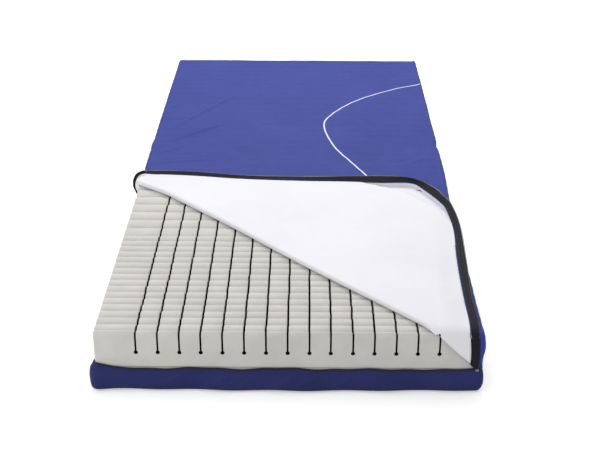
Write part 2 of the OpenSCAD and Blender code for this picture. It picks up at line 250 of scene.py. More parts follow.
def box_shell(xs, ys, zs, sides):
    """A welded grid on the named sides of a box, from its grid lines. Returns vertices and quads."""
    index, verts, quads = {}, [], []

    def at(i, j, k):
        if (i, j, k) not in index:
            index[i, j, k] = len(verts)
            verts.append((xs[i], ys[j], zs[k]))
        return index[i, j, k]

    def side(count_a, count_b, corner, turn):
        for a in range(count_a - 1):
            for b in range(count_b - 1):
                quad = (corner(a, b), corner(a + 1, b), corner(a + 1, b + 1), corner(a, b + 1))
                quads.append(quad[::-1] if turn else quad)

    nx, ny, nz = len(xs), len(ys), len(zs)
    grids = {
        "top": (nx, ny, lambda a, b: at(a, b, nz - 1), False),
        "bottom": (nx, ny, lambda a, b: at(a, b, 0), True),
        "left": (ny, nz, lambda a, b: at(0, a, b), True),
        "right": (ny, nz, lambda a, b: at(nx - 1, a, b), False),
        "foot": (nx, nz, lambda a, b: at(a, 0, b), False),
        "head": (nx, nz, lambda a, b: at(a, ny - 1, b), True),
    }
    for name in sides:
        side(*grids[name])
    return np.array(verts), quads


def grid_lines(low, high, step, low_round=0, high_round=0):
    """Grid lines from low to high, closer together where the box's edge is rounded."""
    bend = np.array([0, 0.2, 0.45, 0.72])
    start, stop = low + low_round, high - high_round
    middle = np.linspace(start, stop, max(2, int(round((stop - start) / step)) + 1))
    parts = [low + bend * low_round] if low_round else []
    parts.append(middle)
    if high_round:
        parts.append(high - bend[::-1] * high_round)
    return np.concatenate(parts)


def rounded(points, low, high, radius):
    """Points of a sharp box moved onto the same box with rounded edges, and their normals."""
    inner = np.clip(points, np.array(low) + radius, np.array(high) - radius)
    normals = unit(points - inner)
    return inner + normals * radius, normals


def bend_foot_half(obj):
    """For a piece that crosses the line between the leg and the seat section; it only bakes the piece's place
    into its mesh and does not bend it.
    """
    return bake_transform(obj)


def bend_head_half(obj):
    """For a piece that crosses the line between the seat and the back section; it only bakes the piece's
    place into its mesh and does not bend it.
    """
    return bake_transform(obj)


# ---- Materials ----

class Nodes:
    """Builds one procedural material around a Principled shader."""

    def __init__(self, name, roughness, metallic=0.0, sheen=0.0, specular=0.5):
        self.material = bpy.data.materials.new(name)
        self.material.use_nodes = True
        self.tree = self.material.node_tree
        self.shader = self.tree.nodes["Principled BSDF"]
        self.shader.inputs["Roughness"].default_value = roughness
        self.shader.inputs["Metallic"].default_value = metallic
        self.shader.inputs["Sheen Weight"].default_value = sheen
        self.shader.inputs["Specular IOR Level"].default_value = specular
        self.place = self.add("ShaderNodeTexCoord").outputs["Object"]

    def add(self, kind, **values):
        """A node with the given properties or input values."""
        node = self.tree.nodes.new(kind)
        for key, value in values.items():
            if key in node.inputs:
                node.inputs[key].default_value = value
            else:
                setattr(node, key, value)
        return node

    def link(self, a, b):
        self.tree.links.new(a, b)

    def noise(self, scale, detail=3.0, roughness=0.5, stretch=(1, 1, 1)):
        """Noise between 0 and 1, about 1/scale metres across."""
        mapping = self.add("ShaderNodeMapping")
        mapping.inputs["Scale"].default_value = stretch
        self.link(self.place, mapping.inputs["Vector"])
        node = self.add("ShaderNodeTexNoise", Scale=scale, Detail=detail, Roughness=roughness)
        self.link(mapping.outputs[0], node.inputs["Vector"])
        return node.outputs["Fac"]

    def threads(self, pitch, direction="X", distortion=0.0):
        """Parallel threads, pitch metres apart, between 0 and 1."""
        node = self.add("ShaderNodeTexWave", bands_direction=direction, Distortion=distortion)
        node.inputs["Scale"].default_value = math.pi / 10 / pitch * 2
        self.link(self.place, node.inputs["Vector"])
        return node.outputs["Fac"]

    def mix_colour(self, share, low, high):
        """A colour between low and high, by share."""
        node = self.add("ShaderNodeMix", data_type="RGBA")
        node.inputs[6].default_value = (*low, 1)
        node.inputs[7].default_value = (*high, 1)
        self.link(share, node.inputs[0])
        return node.outputs[2]

    def math(self, kind, a, b):
        """One arithmetic step; a and b are sockets or numbers."""
        node = self.add("ShaderNodeMath", operation=kind)
        for socket, value in zip(node.inputs, (a, b)):
            if isinstance(value, (int, float)):
                socket.default_value = value
            else:
                self.link(value, socket)
        return node.outputs[0]

    def ramp(self, share, low, high):
        """Share stretched so that low becomes 0 and high becomes 1."""
        node = self.add("ShaderNodeMapRange")
        node.inputs["From Min"].default_value = low
        node.inputs["From Max"].default_value = high
        self.link(share, node.inputs["Value"])
        return node.outputs[0]

    def colour(self, share, low, high):
        self.link(self.mix_colour(share, low, high), self.shader.inputs["Base Color"])
        return self

    def bump(self, height, distance, strength=1.0):
        """Adds a bump; distance is the height in metres that 0 to 1 stands for."""
        node = self.add("ShaderNodeBump", Strength=strength, Distance=distance)
        self.link(height, node.inputs["Height"])
        before = self.shader.inputs["Normal"].links
        if before:
            self.link(before[0].from_socket, node.inputs["Normal"])
        self.link(node.outputs[0], self.shader.inputs["Normal"])
        return self

    def rough(self, share, low, high):
        node = self.add("ShaderNodeMapRange")
        node.inputs["To Min"].default_value = low
        node.inputs["To Max"].default_value = high
        self.link(share, node.inputs["Value"])
        self.link(node.outputs[0], self.shader.inputs["Roughness"])
        return self


def weave(m, pitch):
    """Plain weave: two sets of threads at right angles."""
    return m.math("MULTIPLY", m.threads(pitch, "X"), m.threads(pitch, "Y"))


def coated_fabric(name, dark, light, roughness):
    """Stretch fabric with a polyurethane coat: fine weave, soft creases and a low sheen."""
    m = Nodes(name, roughness, sheen=0.015, specular=0.09)
    m.colour(m.ramp(m.noise(6, 5, 0.6), 0.3, 0.7), dark, light)
    m.bump(weave(m, 0.9 * MM), 0.05 * MM, 0.5)
    m.bump(m.noise(160, 4, 0.6), 0.25 * MM, 0.5)
    m.bump(m.noise(24, 3, 0.5, (1, 2.2, 1)), 2.2 * MM, 0.35)
    return m.rough(m.noise(40, 2), roughness - 0.06, roughness + 0.08).material


def lining_fabric():
    m = Nodes("cover_lining", 0.6, sheen=0.04, specular=0.2)
    m.colour(m.ramp(m.noise(5, 4, 0.55), 0.35, 0.65), (0.745, 0.745, 0.79), (0.78, 0.78, 0.82))
    m.bump(weave(m, 0.8 * MM), 0.04 * MM, 0.5)
    m.bump(m.noise(14, 3, 0.5, (1, 3.5, 1)), 2.5 * MM, 0.3)
    m.bump(m.noise(300, 3, 0.6), 0.1 * MM, 0.4)
    return m.rough(m.noise(30, 2), 0.5, 0.68).material


def open_cell_foam(name, dark, light, pore_depth):
    """Cut polyurethane foam: pores of under a millimetre and faint blotches."""
    m = Nodes(name, 0.95, sheen=0.1, specular=0.15)
    pores = m.noise(900, 4, 0.75)
    blotches = m.noise(18, 3, 0.6)
    share = m.math("ADD", m.math("MULTIPLY", pores, 0.45), m.math("MULTIPLY", blotches, 0.55))
    m.colour(m.ramp(share, 0.36, 0.64), dark, light)
    m.bump(m.noise(70, 3, 0.6), 0.5 * MM, 0.4)
    return m.bump(pores, pore_depth, 0.7).material


def slit_shade():
    """Painted shade for the inside of the slits: a near-black colour standing in for the shade where no light
    reaches; the foam there is no darker than outside.
    """
    m = Nodes("foam_slit_painted_shade", 1.0, specular=0.0)
    return m.colour(m.noise(300, 2), (0.010, 0.010, 0.010), (0.022, 0.021, 0.020)).material


def woven_tape():
    m = Nodes("zip_tape", 0.8, sheen=0.04, specular=0.15)
    m.colour(m.noise(220, 3), (0.007, 0.007, 0.009), (0.015, 0.015, 0.020))
    twill = m.add("ShaderNodeTexWave", bands_direction="DIAGONAL", Distortion=1.0)
    twill.inputs["Scale"].default_value = 420
    m.link(m.place, twill.inputs["Vector"])
    return m.bump(twill.outputs["Fac"], 0.12 * MM, 0.7).material


def coil_plastic():
    m = Nodes("zip_teeth", 0.35, specular=0.5)
    m.colour(m.noise(500, 2), (0.010, 0.010, 0.012), (0.03, 0.03, 0.034))
    return m.bump(m.noise(900, 2), 0.05 * MM, 0.5).material


def thread(name, colour):
    m = Nodes(name, 0.7, sheen=0.1)
    m.colour(m.noise(700, 2), tuple(0.7 * c for c in colour), colour)
    return m.bump(m.threads(0.4 * MM, "DIAGONAL"), 0.08 * MM, 0.6).material


def cast_metal():
    m = Nodes("slider_metal", 0.32, metallic=0.9)
    m.colour(m.noise(260, 4, 0.7), (0.16, 0.16, 0.17), (0.34, 0.34, 0.36))
    m.bump(m.noise(900, 3, 0.6, (1, 0.15, 1)), 0.05 * MM, 0.5)
    return m.rough(m.noise(180, 3), 0.24, 0.48).material


def printed_ink():
    m = Nodes("printed_line", 0.5, specular=0.3)
    m.colour(m.noise(120, 4, 0.7), (0.60, 0.64, 0.74), (0.80, 0.83, 0.90))
    return m.bump(weave(m, 0.9 * MM), 0.05 * MM, 0.6).material


BLUE = coated_fabric("cover_fabric", (0.031, 0.047, 0.250), (0.038, 0.056, 0.285), 0.60)
NAVY = coated_fabric("base_fabric", (0.021, 0.026, 0.110), (0.028, 0.034, 0.138), 0.55)
LINING = lining_fabric()
CELL_FOAM = open_cell_foam("cell_foam", (0.560, 0.545, 0.515), (0.640, 0.625, 0.595), 0.35 * MM)
FIRM_FOAM = open_cell_foam("firm_foam", (0.42, 0.41, 0.385), (0.50, 0.49, 0.46), 0.5 * MM)
PAINTED_SLIT_SHADE = slit_shade()
ZIP_TAPE = woven_tape()
ZIP_TEETH = coil_plastic()
METAL = cast_metal()
INK = printed_ink()
DARK_THREAD = thread("dark_thread", (0.03, 0.03, 0.04))
PALE_THREAD = thread("pale_thread", (0.72, 0.72, 0.76))


# ---- Foam core ----

HEEL_PITCH = 30 * MM
HEEL_CELLS = 16
BODY_PITCH = 49 * MM
FOOT_LIP = 14 * MM
LAST_CELL = 30 * MM
GROOVE = 9.5 * MM
LIP_ROUND = 13 * MM
SLITS = 15
SLIT_PITCH = 48.7 * MM
SLIT_W = 4.3 * MM
KEYHOLE_R = 4.9 * MM
KEYHOLE_Z = FOAM_TOP - 52 * MM


def cell_edges():
    """Grooves between the cells, from the foot end to the head end."""
    edges = [-FOAM_END, -FOAM_END + FOOT_LIP]
    edges += [edges[1] + (i + 1) * HEEL_PITCH for i in range(HEEL_CELLS)]
    while edges[-1] + BODY_PITCH < FOAM_END - LAST_CELL:
        edges.append(edges[-1] + BODY_PITCH)
    return edges + [FOAM_END]


def cell_rows(edges, steps):
    """Places along the cells and the fall of the foam's top there: each cell is a rounded crown."""
    ys, falls = [], []
    for low, high in zip(edges, edges[1:]):
        for t in steps:
            ys.append((low + high) / 2 + t * (high - low) / 2)
            outer = low == -FOAM_END and t < 0 or high == FOAM_END and t > 0
            depth = LIP_ROUND if outer else GROOVE
            falls.append(depth * (1 - math.sqrt(max(0.0, 1 - abs(t) ** 2.1))))
    ys.append(edges[-1])
    falls.append(LIP_ROUND if edges[-1] == FOAM_END else GROOVE)
    return np.array(ys), np.array(falls)


def foam_outline():
    """Outline of the cell layer across the mattress, clockwise from its lower left corner.
    Each point is (x, z, share of the crown's fall that it follows, slit number or -1, dark); dark is 1 where
    the faces inside a slit take the painted shade."""
    out = [(-FOAM_SIDE, FOAM_FLOOR, 0, -1, 0), (-FOAM_SIDE, FOAM_TOP - 45 * MM, 0, -1, 0)]
    for angle in (0, 25, 50, 75):
        a = math.radians(angle)
        r = 7 * MM
        out.append((-FOAM_SIDE + r - r * math.cos(a), FOAM_TOP - r + r * math.sin(a), 1, -1, 0))
    neck = math.asin(SLIT_W / 2 / KEYHOLE_R)
    for n in range(SLITS):
        x = (n - (SLITS - 1) / 2) * SLIT_PITCH
        half = SLIT_W / 2
        before = x - SLIT_PITCH / 2
        out.append((before, FOAM_TOP, 1, -1, 0))
        out.append((x - half - 2.2 * MM, FOAM_TOP - 0.3 * MM, 1, n, 0))
        out.append((x - half - 0.4 * MM, FOAM_TOP - 1.2 * MM, 1, n, 0))
        # From here down the slit and round the keyhole, the last value 1 gives the faces the painted shade.
        out.append((x - half, FOAM_TOP - 2.6 * MM, 1, n, 1))
        out.append((x - half, FOAM_TOP - 16 * MM, 0.3, n, 1))
        for k in range(11):
            a = math.pi / 2 + neck + (2 * math.pi - 2 * neck) * k / 10
            out.append((x + KEYHOLE_R * math.cos(a), KEYHOLE_Z + KEYHOLE_R * math.sin(a), 0, n, 1))
        out.append((x + half, FOAM_TOP - 16 * MM, 0.3, n, 1))
        out.append((x + half, FOAM_TOP - 2.6 * MM, 1, n, 0))
        out.append((x + half + 0.4 * MM, FOAM_TOP - 1.2 * MM, 1, n, 0))
        out.append((x + half + 2.2 * MM, FOAM_TOP - 0.3 * MM, 1, n, 0))
    out.append((out[-1][0] + SLIT_PITCH / 2, FOAM_TOP, 1, -1, 0))
    for angle in (75, 50, 25, 0):
        a = math.radians(angle)
        r = 7 * MM
        out.append((FOAM_SIDE - r + r * math.cos(a), FOAM_TOP - r + r * math.sin(a), 1, -1, 0))
    out += [(FOAM_SIDE, FOAM_TOP - 45 * MM, 0, -1, 0), (FOAM_SIDE, FOAM_FLOOR, 0, -1, 0)]
    return np.array(out)


def cell_foam_half(name, edges, steps, seed):
    """The cell layer between two grooves: its outline swept along the cells."""
    outline = foam_outline()
    ys, falls = cell_rows(edges, steps)
    x, z, follow, slit, dark = outline.T
    columns = len(outline)
    rng = np.random.default_rng(seed)
    wander = rng.normal(0, 0.4 * MM, (len(edges), SLITS))
    cell_of_row = np.minimum(np.arange(len(ys)) // len(steps), len(edges) - 2)
    rows = []
    for row, (y, fall) in enumerate(zip(ys, falls)):
        shift = np.where(slit >= 0, wander[cell_of_row[row]][slit.astype(int)], 0)
        end_gap = min(abs(y + FOAM_END), abs(y - FOAM_END))
        tuck = 3.5 * MM * (1 - smooth(end_gap / (6 * MM)))
        edge_in = np.where(abs(x) > FOAM_SIDE - 8 * MM, tuck * np.sign(x), 0)
        rows.append(np.column_stack([x + shift - edge_in, np.full(columns, y), z - follow * fall]))
    verts = np.vstack(rows)
    share = np.tile(follow, len(ys))
    away_from_split = smooth(abs(verts[:, 1] - SPLIT) / (60 * MM))
    verts[:, 2] += share * away_from_split * 0.45 * MM * waves(verts, 140 * MM, 5, seed)
    faces = grid_faces(len(ys), columns)
    # Faces inside the slits take the painted shade material, near-black in place of the shade there.
    marks = [int(dark[f[0] % columns]) for f in faces]
    faces.append(tuple(reversed(range(columns))))
    faces.append(tuple(range(len(verts) - columns, len(verts))))
    closing = [((r + 1) * columns - 1, r * columns, (r + 1) * columns, (r + 2) * columns - 1)
               for r in range(len(ys) - 1)]
    obj = make_piece(name, verts, faces + closing, [CELL_FOAM, PAINTED_SLIT_SHADE],
                     marks + [0, 0] + [0] * len(closing), sharp=48)
    triangulate_big_faces(obj)
    return obj


def triangulate_big_faces(obj):
    """Splits faces of more than four corners into triangles."""
    bm = bmesh.new()
    bm.from_mesh(obj.data)
    big = [f for f in bm.faces if len(f.verts) > 4]
    bmesh.ops.triangulate(bm, faces=big, quad_method="BEAUTY", ngon_method="EAR_CLIP")
    bm.to_mesh(obj.data)
    bm.free()


def cell_foam():
    edges = cell_edges()
    cut = min(range(len(edges)), key=lambda i: abs(edges[i] - SPLIT))
    fine = (-1, -0.96, -0.86, -0.66, -0.36, 0, 0.36, 0.66, 0.86, 0.96)
    coarse = (-1, -0.93, -0.72, -0.3, 0.3, 0.72, 0.93)
    foot = bend_foot_half(cell_foam_half("cell_foam_foot_half", edges[:cut + 1], fine, 11))
    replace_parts(foot, "leg_cell_foam", "seat_cell_foam")
    head = bend_head_half(cell_foam_half("cell_foam_head_half", edges[cut:], coarse, 12))
    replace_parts(head, "back_cell_foam")


def base_foam_half(name, y_low, y_high, sides):
    low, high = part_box("leg_base_foam")
    low = np.array([low.x, -FOAM_END, low.z])
    high = np.array([high.x, FOAM_END, high.z])
    radius = 6 * MM
    xs = grid_lines(low[0], high[0], 60 * MM, radius, radius)
    ys = grid_lines(y_low, y_high, 20 * MM, radius if "foot" in sides else 0,
                    radius if "head" in sides else 0)
    zs = grid_lines(low[2], high[2], 24 * MM, radius, radius)
    verts, faces = box_shell(xs, ys, zs, ("top", "bottom", "left", "right", "foot", "head"))
    flat_ends = np.array([y_low - 1 if "foot" not in sides else low[1],
                          y_high + 1 if "head" not in sides else high[1]])
    verts, normals = rounded(verts, (low[0], flat_ends[0], low[2]), (high[0], flat_ends[1], high[2]),
                             radius)
    calm = smooth(abs(verts[:, 1] - SPLIT) / (60 * MM))
    verts += normals * (0.5 * MM * calm * waves(verts, 110 * MM, 5, 21))[:, None]
    return make_piece(name, verts, faces, [FIRM_FOAM])


def base_foam():
    foot = bend_foot_half(base_foam_half("base_foam_foot_half", -FOAM_END, SPLIT, ("foot",)))
    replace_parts(foot, "leg_base_foam", "seat_base_foam")
    head = bend_head_half(base_foam_half("base_foam_head_half", SPLIT, FOAM_END, ("head",)))
    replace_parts(head, "back_base_foam")


# ---- Top cover ----

SIDE_SLOPE = -FOLD_DIR[1] / FOLD_DIR[0]
FOOT_SLOPE = 1 / SIDE_SLOPE

# Wrinkles of the blue sheet, seen from above: start, end, half width and height
WRINKLES = [
    ((-0.430, 0.205), (-0.170, 0.640), 7 * MM, 4.2 * MM),
    ((-0.436, 0.110), (-0.180, 0.360), 6 * MM, 4.4 * MM),
    ((-0.438, 0.030), (-0.260, 0.205), 6 * MM, 3.8 * MM),
    ((-0.439, -0.015), (-0.220, 0.020), 6 * MM, 2.6 * MM),
    ((-0.439, -0.050), (-0.150, -0.062), 5 * MM, 2.0 * MM),
    ((-0.438, 0.420), (-0.290, 0.660), 7 * MM, 2.0 * MM),
    ((0.180, 0.300), (0.420, 0.180), 14 * MM, 0.9 * MM),
    ((0.437, 0.060), (0.300, -0.030), 9 * MM, 1.3 * MM),
    ((-0.100, 0.930), (0.120, 0.880), 16 * MM, 1.0 * MM),
]


def fold_place(points):
    """Distance along the fold from its start, and distance from the fold towards the head."""
    rel = points - FOLD_START
    return rel @ FOLD_DIR, rel @ FOLD_OUT


def fold_shift(u):
    """The real fold bows from its straight axis, most near its left end; u is the distance along it."""
    bow = 16 * MM * (1 - 0.68 * smooth((u - 330 * MM) / (420 * MM)))
    return bow * smooth(u / (140 * MM)) * smooth((FOLD_LENGTH - u) / (50 * MM))


def cover_relief(points):
    """How far the top cover stands off its smooth shape."""
    x, y, z = points.T
    on_top = smooth((z - TOP + 30 * MM) / (30 * MM))
    relief = 0.8 * MM * waves(points, 300 * MM, 5, 31) + 0.25 * MM * waves(points, 90 * MM, 6, 32)
    relief += 0.32 * MM * on_top * np.cos(2 * math.pi * (y - LEG_LINE - BODY_PITCH / 2) / BODY_PITCH)
    for start, end, width, height in WRINKLES:
        relief += on_top * ridge(x, y, start, end, width, height)
    relief += (1 - on_top) * 1.6 * MM * waves(points * [1, 1, 0.4], 120 * MM, 5, 33)
    relief += smooth((y + 0.25) / 0.2) * (4.5 * MM * smooth((x - SIDE + EDGE_R) / (8 * MM))
                                          - 2.2 * MM * smooth((-x - SIDE + EDGE_R) / (8 * MM)))
    low = smooth((z - LID_EDGE) / (30 * MM))
    relief = np.where(on_top < 0.5, np.maximum(relief, -2.4 * MM) * (0.3 + 0.7 * low), relief)
    u, v = fold_place(points)
    calm = smooth(abs(y - SPLIT) / (45 * MM)) * smooth(abs(v) / (35 * MM))
    corner_lump = 6 * MM * hump((x - SIDE) / (22 * MM)) * hump((y + END) / (45 * MM))
    return relief * calm + corner_lump * hump((z - 0.115) / (26 * MM))


def open_the_corner(verts, faces):
    """Cuts the folded corner out of the sharp-cornered cover."""
    bm = bmesh.new()
    made = [bm.verts.new(v) for v in verts]
    for f in faces:
        bm.faces.new([made[i] for i in f])
    cuts = [
        (lambda c: c.z > TOP - 1e-5, FOLD_START, FOLD_OUT),
        (lambda c: c.x < -SIDE + 1e-5, (-SIDE, FOLD_START[1], TOP), (0, 1, SIDE_SLOPE)),
        (lambda c: c.y < -END + 1e-5, (FOLD_STOP[0], -END, TOP), (1, 0, FOOT_SLOPE)),
    ]
    for on_side, place, normal in cuts:
        side_faces = [f for f in bm.faces if on_side(f.calc_center_median())]
        geom = list({e for f in side_faces for e in (*f.verts, *f.edges)}) + side_faces
        bmesh.ops.bisect_plane(bm, geom=geom, dist=1e-6, plane_co=place, plane_no=normal)
        place, normal = Vector(place), Vector(normal)
        gone = [f for f in bm.faces if on_side(f.calc_center_median())
                and (f.calc_center_median() - place) @ normal < 0]
        bmesh.ops.delete(bm, geom=gone, context="FACES")
    bm.verts.index_update()
    new_verts = np.array([v.co[:] for v in bm.verts])
    new_faces = [tuple(v.index for v in f.verts) for f in bm.faces]
    bm.free()
    return new_verts, new_faces


def top_cover_half(name, y_low, y_high, ends, opened):
    xs = grid_lines(-SIDE, SIDE, 5.5 * MM, EDGE_R, EDGE_R)
    ys = grid_lines(y_low, y_high, 6 * MM, EDGE_R if "foot" in ends else 0,
                    EDGE_R if "head" in ends else 0)
    zs = grid_lines(LID_EDGE, TOP, 9 * MM, 0, EDGE_R)
    verts, faces = box_shell(xs, ys, zs, ("top", "left", "right") + ends)
    if opened:
        verts, faces = open_the_corner(verts, faces)
    relief = cover_relief(verts)
    u, v = fold_place(verts)
    near_fold = fold_shift(u) * hump(v / (60 * MM)) * (verts[:, 2] > TOP - 1e-5) if opened else 0
    shaped, normals = rounded(verts, (-SIDE, -END, -1), (SIDE, END, TOP), EDGE_R)
    shaped += normals * relief[:, None]
    if opened:
        shaped += near_fold[:, None] * FOLD_OUT
    return make_sheet(name, shaped, faces, FABRIC, [BLUE, LINING])


def top_cover():
    foot = top_cover_half("top_cover_foot_half", -END, SPLIT, ("foot",), True)
    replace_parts(bend_foot_half(foot), "leg_top_cover", "seat_top_cover")
    head = top_cover_half("top_cover_head_half", SPLIT, END, ("head",), False)
    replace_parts(bend_head_half(head), "back_top_cover")


# ---- Base cover ----

# Creases of the navy wall at the foot end: start and end as (x, z), half width and height
FOOT_CREASES = [
    ((-0.335, 0.012), (-0.215, 0.048), 6 * MM, 4.6 * MM),
    ((-0.205, 0.006), (-0.115, 0.050), 6 * MM, 4.2 * MM),
    ((-0.150, 0.016), (-0.085, 0.052), 5 * MM, 3.4 * MM),
    ((-0.055, 0.004), (0.030, 0.046), 6 * MM, 4.2 * MM),
    ((0.010, 0.012), (0.085, 0.052), 5 * MM, 3.2 * MM),
    ((0.100, 0.006), (0.150, 0.048), 6 * MM, 3.6 * MM),
    ((0.205, 0.010), (0.300, 0.046), 7 * MM, 2.8 * MM),
    ((-0.420, 0.008), (-0.330, 0.030), 8 * MM, 3.0 * MM),
    ((0.330, 0.008), (0.420, 0.050), 8 * MM, 2.8 * MM),
]


def edge_wave(x, y):
    """Rise and fall of the lower zip where it is open: along the foot end and the left side."""
    foot = smooth((y + END - 60 * MM) / (-60 * MM))
    left = smooth((-SIDE + 30 * MM - x) / (30 * MM)) * smooth((OPEN_Y - y) / (120 * MM))
    wave = 2.2 * MM * np.sin(2 * math.pi * (x + 0.06) / 0.19) * hump((x + 0.12) / 0.34)
    wave += 0.9 * MM * np.sin(2 * math.pi * x / 0.083)
    wave += 14 * MM * hump((x + SIDE) / (34 * MM)) * hump((y + END) / (80 * MM))
    wave += 5 * MM * hump((x - SIDE) / (50 * MM)) * hump((y + END) / (60 * MM))
    side_wave = 1.8 * MM * np.sin(2 * math.pi * y / 0.16)
    return np.maximum(foot, 0) * wave + left * (1 - np.clip(foot, 0, 1)) * side_wave


def base_relief(points):
    """How far the base cover's walls stand off their smooth shape."""
    x, y, z = points.T
    belly = 4.5 * MM * np.sin(np.clip(z / BASE_EDGE, 0, 1) * math.pi)
    at_foot = smooth((-END + 12 * MM - y) / (10 * MM))
    relief = belly + 1.5 * MM * waves(points * [1, 1, 0.5], 130 * MM, 6, 41)
    relief += 0.5 * MM * waves(points, 45 * MM, 6, 42)
    for start, end, width, height in FOOT_CREASES:
        relief += at_foot * ridge(x, z, start, end, width, height)
    for n in range(16):
        y0 = -0.9 + n * 0.118
        for s in (-1, 1):
            on_side = smooth((s * x - SIDE + 12 * MM) / (10 * MM))
            relief += on_side * ridge(y, z, (y0, 0.006), (y0 + 0.06, 0.05), 6 * MM, 1.5 * MM)
    sag = at_foot * (1 - smooth(z / (45 * MM))) * (9 * MM * hump((x + 0.02) / 0.30)
                                                   + 2.5 * MM * np.sin(2 * math.pi * x / 0.17))
    corner = 7 * MM * hump((x + SIDE) / (45 * MM)) * hump((y + END) / (70 * MM))
    calm = smooth(abs(y - SPLIT) / (45 * MM))
    on_wall = smooth(z / (20 * MM)) * smooth((BASE_EDGE + 3 * MM - z) / (14 * MM))
    low_rim = smooth((BASE_EDGE + 2 * MM - z) / (12 * MM))
    return relief * calm * on_wall + (sag + corner) * low_rim


def base_cover_half(name, y_low, y_high, ends):
    xs = grid_lines(-SIDE, SIDE, 4.5 * MM, EDGE_R, EDGE_R)
    ys = grid_lines(y_low, y_high, 8 * MM, EDGE_R if "foot" in ends else 0,
                    EDGE_R if "head" in ends else 0)
    zs = grid_lines(0, BASE_EDGE, 4 * MM, EDGE_R, 0)
    verts, faces = box_shell(xs, ys, zs, ("bottom", "left", "right") + ends)
    relief = base_relief(verts)
    rise = edge_wave(verts[:, 0], verts[:, 1]) * smooth(verts[:, 2] / BASE_EDGE)
    shaped, normals = rounded(verts, (-SIDE, -END, 0), (SIDE, END, 1), EDGE_R)
    shaped += normals * relief[:, None] * [1, 1, 0]
    shaped[:, 2] += rise
    return make_sheet(name, shaped, faces, FABRIC, [NAVY, NAVY])


def base_cover():
    foot = base_cover_half("base_cover_foot_half", -END, SPLIT, ("foot",))
    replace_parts(bend_foot_half(foot), "leg_base_cover", "seat_base_cover")
    head = base_cover_half("base_cover_head_half", SPLIT, END, ("head",))
    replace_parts(bend_head_half(head), "back_base_cover")


# ---- Zip round the walls ----

TOOTH_PITCH = 2.6 * MM
TOOTH = [(-0.7, 0, -0.9), (0.7, 0, -0.9), (0.7, 2.3, -0.6), (-0.7, 2.3, -0.6),
         (-0.7, 0, 0.9), (0.7, 0, 0.9), (0.5, 2.1, 0.7), (-0.5, 2.1, 0.7)]
TOOTH_FACES = [(0, 3, 2, 1), (4, 5, 6, 7), (0, 1, 5, 4), (1, 2, 6, 5), (2, 3, 7, 6), (3, 0, 4, 7)]
STITCH = [(-1.3, -0.25, 0), (1.3, -0.25, 0), (1.3, 0.25, 0), (-1.3, 0.25, 0),
          (-0.8, -0.15, 0.3), (0.8, -0.15, 0.3), (0.8, 0.15, 0.3), (-0.8, 0.15, 0.3)]
STITCH_FACES = [(3, 2, 1, 0), (4, 5, 6, 7), (0, 1, 5, 4), (1, 2, 6, 5), (2, 3, 7, 6), (3, 0, 4, 7)]


def teeth_along(name, line, up, out):
    """A row of zip teeth along a line. Up points from the tape towards the other row."""
    fine = resample(np.hstack([line, up, out]), TOOTH_PITCH)
    places, up, out = fine[:, :3], unit(fine[:, 3:6]), unit(fine[:, 6:9])
    return make_repeats(name, np.array(TOOTH) * MM, TOOTH_FACES, places, tangents(places), up, out,
                        ZIP_TEETH)


def stitches_along(name, line, across, out, material, pitch=4 * MM):
    """A row of stitches along a line."""
    fine = resample(np.hstack([line, across, out]), pitch)
    places, across, out = fine[:, :3], unit(fine[:, 3:6]), unit(fine[:, 6:9])
    return make_repeats(name, np.array(STITCH) * MM, STITCH_FACES, places, tangents(places), across,
                        out, material)


def wall_line(end):
    """Line round the walls from the split on the left side, round one end (-1 is the foot end),
    to the split on the right side. Returns points at z = 0 and their outward directions."""
    r = EDGE_R
    arc = np.linspace(0, math.pi / 2, 7)
    start = [(-SIDE, SPLIT)]
    first = [(-SIDE + r - r * math.cos(a), end * (END - r + r * math.sin(a))) for a in arc]
    second = [(-x, y) for x, y in reversed(first)]
    line = resample(np.array(start + first + second + [(SIDE, SPLIT)]), 6 * MM)
    t = tangents(line)
    out = np.column_stack([t[:, 1], -t[:, 0]]) * (1 if end < 0 else -1)
    flat = np.zeros(len(line))
    return np.column_stack([line, flat]), np.column_stack([out, flat])


